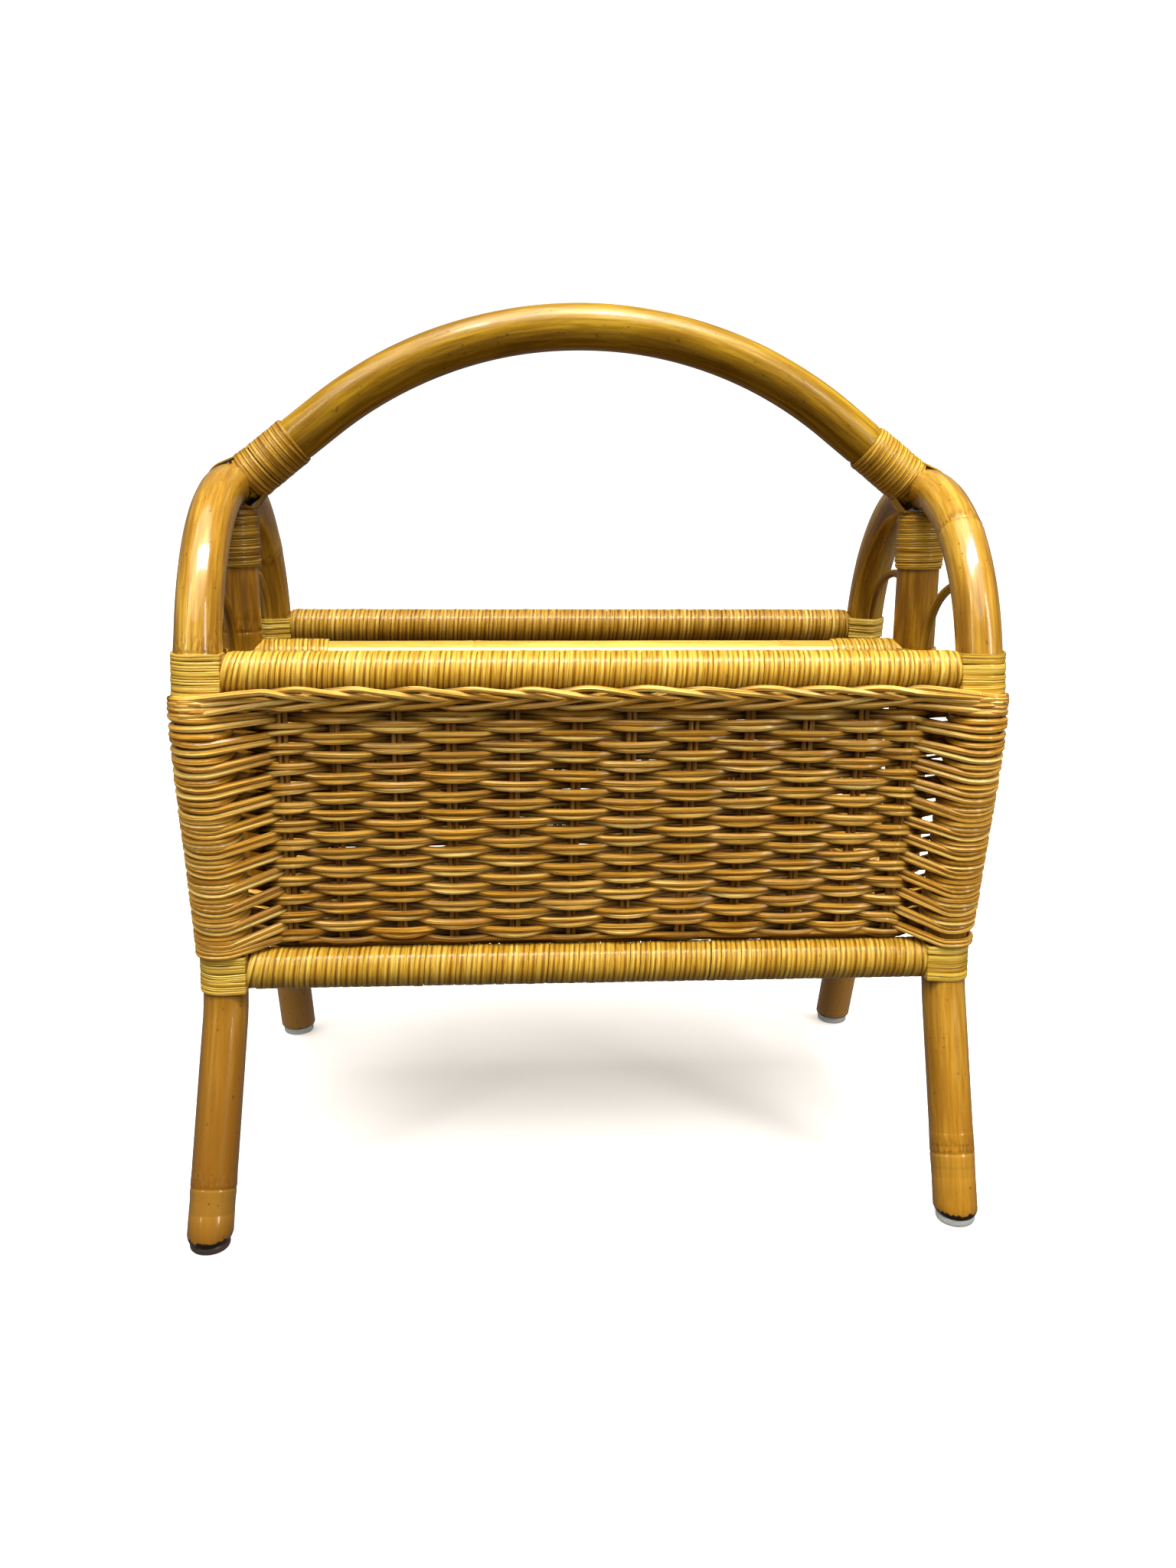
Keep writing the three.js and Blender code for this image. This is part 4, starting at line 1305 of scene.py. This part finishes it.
def base_levels(number, strand):
    """Places along the cross rail at which the strands pass under it, with no extra turn near the post."""
    if number < 0:
        return None
    middle = base_pitch * (number + 0.5) - base_reach
    own = [middle + strand * base_spread]
    if strand < 0 and abs(middle) > bunched_within:
        return [middle - base_pitch * 0.75] + own
    return own


def round_cross_rail(side, turn):
    """Places round a cross rail, moved clear of the post."""
    level = turn[:, 2]
    bunched = np.sign(level + 0.01) * (post_clear + np.abs(level) * bunched_width / bunched_within)
    apart = np.where(np.abs(level) < bunched_within, bunched, level)
    return np.column_stack([side * half_width + turn[:, 0], apart, base_height - turn[:, 1]])


base_runs = weave(base_rows, base_levels, base_rise, round_cross_rail, base_wrap_radius)
thickness = [1 + wander(len(line), 0.035, 10) for line in base_runs]
piece = draw("base_weavers", base_runs, reed_radius, scales=thickness)
mark_crevice_shade(piece)
dress(piece, reed_material, "base_weave", slot="wicker")

# %% [markdown]
# ## The braided border
#
# Under each top rail lies a flat plait of five strands. They all follow the same wave, each one a fifth
# further on. A strand comes up at a crest, runs gently down to the right, slips behind the others to the
# lower edge, and rises gently again. The wave is given by a few heights and depths over one repeat. At both
# ends the strands are led round the poles, one below the other, in the order in which they arrive.

# %% Plait the border
crest_spacing = 29.5
plait_strands = 5
plait_radius = 1.62
plait_step = 3.2
plait_shift = 97.0
repeat = crest_spacing * plait_strands
plait_centre = (-121.3, 290.6)
plait_up = (-0.5, 0.866)
plait_out = (-0.866, -0.5)
plait_half = 184.0
plait_fade = 9.0
plait_end_share = 0.35
plait_end_depth = 1.5
plait_bow_rise = 1.5
plait_end_levels = (289.0, 288.0, 286.0, 283.6, 281.0)
wave_heights = [
    (0.03, 5.9), (0.08, 5.5), (0.22, 1.8), (0.33, -1.2), (0.42, -3.4), (0.51, -5.8), (0.60, -5.6),
    (0.76, -2.2), (0.88, 0.6), (0.975, 3.2),
]
wave_depths = [
    (0.0, 0.0), (0.05, 1.5), (0.15, 1.8), (0.27, 1.2), (0.36, -0.3), (0.44, -1.5), (0.50, -1.0), (0.56, 1.0),
    (0.66, 1.6), (0.78, 1.0), (0.88, -0.6), (0.95, -1.4),
]


def wave(shares, spots):
    """A periodic line through the spots, read at shares of the repeat."""
    spots = [(u + turn, v) for turn in (-1, 0, 1) for u, v in spots]
    line = smooth(spots, 6)
    return np.interp(shares % 1.0, line[:, 0], line[:, 1])


def plait_strand(number):
    """One strand of the plait, between the poles."""
    along = np.arange(-plait_half, plait_half, plait_step)
    share = (along + plait_shift) / repeat + number / plait_strands
    high = wave(share, wave_heights) + wander(len(along), 0.25, 6)
    deep = wave(share, wave_depths) + wander(len(along), 0.12, 4)
    full = np.clip((plait_half - np.abs(along)) / plait_fade, 0, 1) ** 0.5
    high = high * (plait_end_share + (1 - plait_end_share) * full)
    deep = deep - plait_end_depth * (1 - full)
    y = plait_centre[0] + high * plait_up[0] + deep * plait_out[0]
    z = plait_centre[1] + high * plait_up[1] + deep * plait_out[1]
    return np.column_stack([along, y, z])


def plait():
    """The runs of one border along the front."""
    runs = [plait_strand(number) for number in range(plait_strands)]
    angles = np.radians(np.arange(170, 281, 11))
    for side in (-1, 1):
        runs.sort(key=lambda run: -run[3, 2])
        for number, level in enumerate(plait_end_levels):
            x = side * (half_width - wrap_radius * np.cos(angles))
            y = wrap_radius * np.sin(angles) - pole_y(level)
            bow = np.column_stack([x, y, level - plait_bow_rise * np.sin(angles)])
            runs[number] = np.vstack([bow, runs[number][4:]])[::-1]
    return [even(smooth(run[::3], 3), plait_step) for run in runs]


def mark_plait_shade(piece):
    """Marks painted shade on what lies deep in the border, as for the weaving."""
    x, y, z = places_of(piece).T
    out = (-np.abs(y) - plait_centre[0]) * plait_out[0] + (z - plait_centre[1]) * plait_out[1]
    mark(piece, "crevice_shade", np.clip((1.4 - out) / 3.4, 0, 1))


for facing, y_sign in both_faces:
    runs = plait()
    if facing == "rear":
        runs = [run * (-1, -1, 1) for run in runs]
    thickness = [1 + wander(len(run), 0.05, 8) for run in runs]
    piece = draw(f"{facing}_border", runs, plait_radius, scales=thickness)
    mark_plait_shade(piece)
    dress(piece, reed_material, f"{facing}_braid", slot="wicker")

# %% [markdown]
# ## Side loops
#
# In each side, between pole and post, stands a thin rod bent into a loop. Its feet are bound in with the
# ties. The front loops rise gently from the post and are highest nearer the pole. The rear ones rise
# steeply from the post and fall slowly. Their shapes are given in shares of the loop's width and height,
# from the foot at the post to the foot at the pole.

# %% Draw the side loops
loop_radius = 3.0
loop_inner_y = 18.85
loop_outer_y = 94.9
loop_foot = 286.0
loop_crown = 341.0
rod_radius = 2.5
loop_shares = {
    "front": [(0, 0), (0.02, 0.3), (0.10, 0.57), (0.27, 0.82), (0.48, 0.97), (0.62, 1), (0.8, 0.88),
              (0.93, 0.62), (1, 0.25), (1, 0)],
    "rear": [(0, 0), (0.0, 0.35), (0.05, 0.75), (0.12, 0.94), (0.24, 1), (0.4, 1), (0.57, 0.95), (0.72, 0.86),
             (0.84, 0.74), (0.93, 0.55), (1, 0.25), (1, 0)],
}


def loop_point(sign, y_sign, run, rise):
    y = loop_inner_y + (loop_outer_y - loop_inner_y) * run
    return (sign * half_width, y_sign * y, loop_foot + (loop_crown - loop_foot) * rise)


for side, sign in both_sides:
    for facing, y_sign in both_faces:
        line = smooth([loop_point(sign, y_sign, *shares) for shares in loop_shares[facing]])
        thickness = [1 + wander(len(line), 0.02, 8)]
        piece = draw(f"loop_{facing}_{side}", [line], rod_radius, sides=16, scales=thickness)
        dress(piece, loop_material, f"side_loop_{facing}_{side}", slot="wicker")

# %% [markdown]
# ## Bands of flat cane
#
# Bands of flat cane come out from under a rail's winding, go round the pole and the foot of the loop, and
# go back in on the other side. Seen along the pole that is a hull round circles, open towards the rail.
# Every band is a strip with soft corners and a slightly domed face, and some have grooves where two widths
# of cane lie side by side.

# %% Outlines for bands
cane = 1.2
band_step = 2.2
band_play = 0.12
groove_depth = 0.32
groove_width = 0.28


def hull(points):
    """The convex outline of points, anticlockwise."""
    points = sorted(map(tuple, points))

    def left_turn(a, b, c):
        return (b[0] - a[0]) * (c[1] - a[1]) > (b[1] - a[1]) * (c[0] - a[0])

    def half(chain):
        kept = []
        for point in chain:
            while len(kept) > 1 and not left_turn(kept[-2], kept[-1], point):
                kept.pop()
            kept.append(point)
        return kept[:-1]

    return half(points) + half(points[::-1])


def ring_points(x, y, radius):
    return arc((x, y), radius, 0, 2 * math.pi, 49)[:-1]


def nearest_corner(outline, place):
    return min(range(len(outline)), key=lambda k: math.dist(outline[k], place))


def open_hull(circles, mouth):
    """Hull round circles, cut open at the mouth: a run from one corner of the mouth to the other."""
    outline = hull([p for circle in circles for p in ring_points(*circle)] + list(mouth))
    first, last = (nearest_corner(outline, corner) for corner in mouth)
    if (last + 1) % len(outline) != first:
        first = last
    return outline[first:] + outline[:first]


def band_section(height, thickness, grooves):
    """Outline of a band: (outwards, up), with soft corners, a domed face and shallow grooves."""
    face = []
    for u in np.linspace(-1, 1, 13):
        dome = thickness / 2 - 0.24 * u**6 - 0.16 * u * u
        for spot in np.linspace(-1, 1, grooves + 2)[1:-1]:
            dome -= groove_depth * math.exp(-(((u - spot) * height / 2 / groove_width) ** 2))
        face.append((dome, u * height / 2))
    inner_half = height / 2 * 0.94
    return face + [(-thickness / 2, inner_half), (-thickness / 2, -inner_half)]


def draw_band(name, run, height, thickness, grooves):
    """One strip of flat cane along a run."""
    section = section_curve("band_section", band_section(height, thickness, grooves))
    piece = draw(name, [run], section=section, twist="Z_UP")
    bpy.data.objects.remove(section, do_unlink=True)
    return piece


def join(name, pieces):
    start_fresh()
    for piece in pieces:
        piece.select_set(True)
    bpy.context.view_layer.objects.active = pieces[0]
    bpy.ops.object.join()
    joined = bpy.context.object
    joined.name = name
    return joined


def bands(name, run_at, heights, grooves, middle, tilt=0.0, squeeze=0.0):
    """Bands above each other round a pole, joined into one piece. run_at(level) gives the run at a level.
    tilt lifts one end of the bands above the other, and a negative squeeze brings their ends together."""
    pieces = []
    top = middle + sum(heights) / 2
    for number, height in enumerate(heights):
        level = top - height / 2
        top -= height
        run = even(run_at(level), band_step)
        lift = wander(len(run), band_play, 6) + tilt * np.linspace(0.5, -0.5, len(run))
        lift += squeeze * (level - middle) * np.abs(np.linspace(-1, 1, len(run))) ** 3
        run[:, 2] += lift
        run[:, :2] += wander(len(run), 0.05, 5)[:, None]
        pieces.append(draw_band(f"{name}_{number}", run, height * 0.99, 1.15, grooves[number % len(grooves)]))
    return join(name, pieces)


# %% [markdown]
# ## Corner ties
#
# Each corner has its own tie, as the maker's hand left it: some of a few broad bands, some of many narrow
# ones. The list gives the bands' heights from the top down, their grooves in turn, and how the bands tilt
# and squeeze.

# %% Tie the corners
tie_reach = half_width - winding_end - fit_gap
tie_arm = rail_radius + fit_gap + cane / 2
tie_radius = pole_radius + fit_gap + cane / 2
rod_bed = loop_radius + fit_gap + cane / 2
loop_foot_reach = 15.3
tie_levels = {"top": top_rail_height, "bottom": bend_height}
narrow_bands = [1.6, 1.8, 2.0, 2.6, 2.8, 1.2, 1.3, 1.4, 1.3, 2.4, 3.2]
tie_bands = {
    ("top", "front", "left"): (narrow_bands, [0, 0, 0, 1, 0], 0.6, 0.0),
    ("top", "front", "right"): ([5.3, 5.4, 5.3, 5.4], [1, 0, 1, 0], -0.3, -0.06),
    ("top", "rear", "left"): ([3.2, 3.6, 3.2, 3.4], [1, 1, 0, 1], 0.5, 0.0),
    ("top", "rear", "right"): ([4.4, 4.6, 4.4], [1, 2, 1], -0.3, 0.0),
    ("bottom", "front", "left"): ([2.2, 2.0, 2.2, 2.6, 2.4, 2.2, 2.4, 2.2, 2.2], [0, 1, 0], 0.5, -0.04),
    ("bottom", "front", "right"): ([5.0, 5.2, 5.0, 5.2], [1, 0, 1, 1], -0.6, -0.12),
    ("bottom", "rear", "left"): ([5.1, 5.1, 5.1, 5.1], [1, 2, 1, 2], 0.3, 0.0),
    ("bottom", "rear", "right"): ([5.1, 5.1, 5.1, 5.1], [2, 1, 2, 1], -0.3, 0.0),
}


def tied_run(sign, circles, reach, arm, y_at):
    """Gives the run of a band round circles at any level, open towards a rail from the middle."""
    outline = open_hull(circles, [(-sign * reach, -arm), (-sign * reach, arm)])
    return lambda level: [(sign * half_width + x, y_at(level) + y, level) for x, y in outline]


for (level, facing, side), (heights, grooves, tilt, squeeze) in tie_bands.items():
    sign, y_sign = dict(both_sides)[side], dict(both_faces)[facing]
    circles = [(0, 0, tie_radius)]
    if level == "top":
        circles.append((0, -y_sign * loop_foot_reach, rod_bed))
    run_at = tied_run(sign, circles, tie_reach, tie_arm, lambda height: y_sign * pole_y(height))
    name = f"{level}_bands_{facing}_{side}"
    piece = bands(name, run_at, heights, grooves, tie_levels[level], tilt, squeeze)
    dress(piece, band_material, f"tie_{level}_{facing}_{side}", slot="flat_cane")

# %% [markdown]
# ## Post ties
#
# The posts are tied to the middle rail in the same way, with the inner feet of both loops under the bands.

# %% Tie the posts
post_tie_heights = [3.2, 3.6, 3.2, 3.5]
post_tie_grooves = [1, 0, 1, 1]
post_tie_tilt = 0.4
post_tie_reach = post_radius + fit_gap
post_circles = [(0, 0, post_tie_reach + cane / 2), (0, -loop_inner_y, rod_bed), (0, loop_inner_y, rod_bed)]
post_tie_arm = middle_radius + fit_gap + cane / 2

for side, sign in both_sides:
    run_at = tied_run(sign, post_circles, post_tie_reach, post_tie_arm, lambda height: 0)
    piece = bands(f"post_bands_{side}", run_at, post_tie_heights, post_tie_grooves, middle_rail_height,
                  post_tie_tilt)
    dress(piece, band_material, f"post_tie_{side}", slot="flat_cane")

# %% [markdown]
# ## Straps over the arch tops
#
# Three strips hold each end of the handle. They start under its winding, go over the pole, down its outer
# side, in between pole and post, and up again to the underside of the handle. The run lies in an upright
# plane, so the strips are drawn flat on the ground first and then turned up.

# %% Strap the arches
strap_bed = pole_radius + fit_gap + cane / 2
strap_low = post_top + fit_gap + cane / 2
strap_strips = (-5.0, 0.0, 5.0)
strap_width = 4.9
strap_thickness = 1.1
strap_step = 1.6
strap_ends = ((27.0, 11.6), (15.5, 12.1))


def strap_end(sign, way, distance, lift):
    """X and Z of a place above (way 1) or below (way -1) the handle's straight end."""
    point = handle_point(sign, distance)[[0, 2]]
    return point + np.array([sign * math.sin(handle_slope), math.cos(handle_slope)]) * way * lift


def strap_run(sign):
    """X and Z of a strap, from under the winding above the handle to under the winding below it."""
    over_in, over, under_in, under = (strap_end(sign, way, *end) for way in (1, -1) for end in strap_ends)
    low = [(sign * half_width + way * strap_bed, strap_low) for way in (-1, 1)]
    ring = ring_points(sign * half_width, arch_top_height, strap_bed)
    outline = hull(ring + [tuple(over), tuple(under)] + low)
    if sign > 0:
        outline = outline[::-1]
    first = nearest_corner(outline, over)
    return [tuple(over_in), *outline[first:], *outline[:first], tuple(under_in)]


for side, sign in both_sides:
    strips = []
    for number, y in enumerate(strap_strips):
        run = even(strap_run(sign), strap_step)
        run += wander(len(run), 0.05, 5)[:, None]
        flat = np.column_stack([run, np.full(len(run), -y) + wander(len(run), 0.15, 8)])
        if sign > 0:
            flat = flat[::-1]
        strips.append(draw_band(f"strap_{side}_{number}", flat, strap_width, strap_thickness, number % 2 + 1))
    piece = join(f"handle_strap_{side}", strips)
    piece.matrix_world = Matrix.Rotation(math.pi / 2, 4, "X")
    only(piece)
    bpy.ops.object.transform_apply(location=True, rotation=True, scale=True)
    # The left straps get the dark cane: painted shade for the dark gap between handle, arch and post.
    dress(piece, dark_cane_material if sign < 0 else band_material, f"arch_strap_{side}", slot="flat_cane")

# %% [markdown]
# ## Glides
#
# Under each foot sits a nailed plastic glide. Three are milky and clear, and the one at the front left has
# gone dark. A short cylinder with its edges rounded by a bevel is all that shows of them.

# %% Put glides under the feet
glide_radius = 10.5
glide_edge = 1.7


def plastic_finish(name, colour, rough, clear):
    board = Board(name)
    board.shader.inputs["Transmission Weight"].default_value = clear
    return board.finish(colour, rough)


clear_plastic = plastic_finish("milky_plastic", rgb(0.75, 0.76, 0.74), 0.25, 0.55)
dark_plastic = plastic_finish("dark_plastic", rgb(0.09, 0.06, 0.045), 0.35, 0.0)
for facing, y_sign in both_faces:
    for side, sign in both_sides:
        place = skew([(sign * half_width, y_sign * foot_y, glide_height / 2)])[0] * mm
        start_fresh()
        bpy.ops.mesh.primitive_cylinder_add(
            vertices=48, radius=glide_radius * mm, depth=glide_height * mm, location=tuple(place),
        )
        glide = bpy.context.object
        glide.name = f"glide_dome_{facing}_{side}"
        bpy.ops.object.transform_apply(location=True, rotation=True, scale=True)
        bevel = glide.modifiers.new("soft edges", "BEVEL")
        bevel.width = glide_edge * mm
        bevel.segments = 4
        bpy.ops.object.modifier_apply(modifier=bevel.name)
        bpy.ops.object.shade_smooth_by_angle(angle=crease_angle)
        material = dark_plastic if (facing, side) == ("front", "left") else clear_plastic
        dress(glide, material, f"glide_{facing}_{side}", slot="glide_plastic")

# %% [markdown]
# ## Floor and light
#
# The photograph was taken on a white sweep lit so strongly that only a faint shadow is left on it, while
# the undersides of the basket stay dark. So the floor glows a little, as a lit table does, and neither it
# nor the white surroundings throw light back on the basket: that comes from a wide sky light and from soft
# boxes, which make the long white streaks on the varnish.

# %% Lay the floor
bpy.ops.mesh.primitive_plane_add(size=12)
floor = bpy.context.object
floor.name = "floor"
floor_board = Board("white_sweep")
floor.data.materials.append(floor_board.finish(rgb(0.85, 0.84, 0.82), 0.75, specular=0.1))
floor_board.shader.inputs["Emission Color"].default_value = rgb(1.0, 0.92, 0.81)
floor_board.shader.inputs["Emission Strength"].default_value = 0.42
floor.visible_diffuse = False
floor.visible_glossy = False

# %% [markdown]
# ## White surroundings
#
# The camera sees pure white behind the basket, while the varnish reflects a dim grey. The Light Path node
# tells the two apart, and it is used here in the world alone.

# %% Set the surroundings
bpy.context.scene.view_settings.view_transform = "Standard"
bpy.context.scene.view_settings.look = "Medium High Contrast"
world = bpy.context.scene.world or bpy.data.worlds.new("studio")
bpy.context.scene.world = world
world.use_nodes = True
sky = world.node_tree
surround = sky.nodes["Background"]
surround.inputs["Color"].default_value = rgb(0.18, 0.18, 0.185)
backdrop = sky.nodes.new("ShaderNodeBackground")
backdrop.inputs["Color"].default_value = rgb(1, 1, 1)
ray = sky.nodes.new("ShaderNodeLightPath")
either = sky.nodes.new("ShaderNodeMixShader")
sky.links.new(ray.outputs["Is Camera Ray"], either.inputs["Fac"])
sky.links.new(surround.outputs["Background"], either.inputs[1])
sky.links.new(backdrop.outputs["Background"], either.inputs[2])
sky.links.new(either.outputs["Shader"], sky.nodes["World Output"].inputs["Surface"])

# %% [markdown]
# ## Lights
#
# Two tall soft boxes stand in front, a weak narrow one at the left and a stronger one at the right, and a
# wide one hangs above. A sun with a very large disc stands for the sky: it lights everything from above and
# hardly draws a shadow.

# %% Hang the lights
def soft_light(name, place, aim, width, height, power):
    bpy.ops.object.light_add(type="AREA", location=place)
    light = bpy.context.object
    light.name = name
    light.data.shape = "RECTANGLE"
    light.data.size = width
    light.data.size_y = height
    light.data.energy = power
    light.rotation_euler = (Vector(aim) - Vector(place)).to_track_quat("-Z", "Y").to_euler()


soft_light("window_left", place=(-1.2, -1.1, 1.2), aim=(0, 0, 0.3), width=0.12, height=1.2, power=4.5)
soft_light("window_right", place=(1.2, -1.2, 1.1), aim=(0, 0, 0.3), width=0.25, height=1.2, power=12)
soft_light("ceiling", place=(0.1, -0.5, 1.8), aim=(0, 0, 0.2), width=1.2, height=0.4, power=30)
sky_turn = (math.radians(18), 0, math.radians(-14))
bpy.ops.object.light_add(type="SUN", location=(0, -1, 3), rotation=sky_turn)
sky_light = bpy.context.object
sky_light.name = "sky_light"
sky_light.data.energy = 3.0
sky_light.data.angle = math.radians(70)
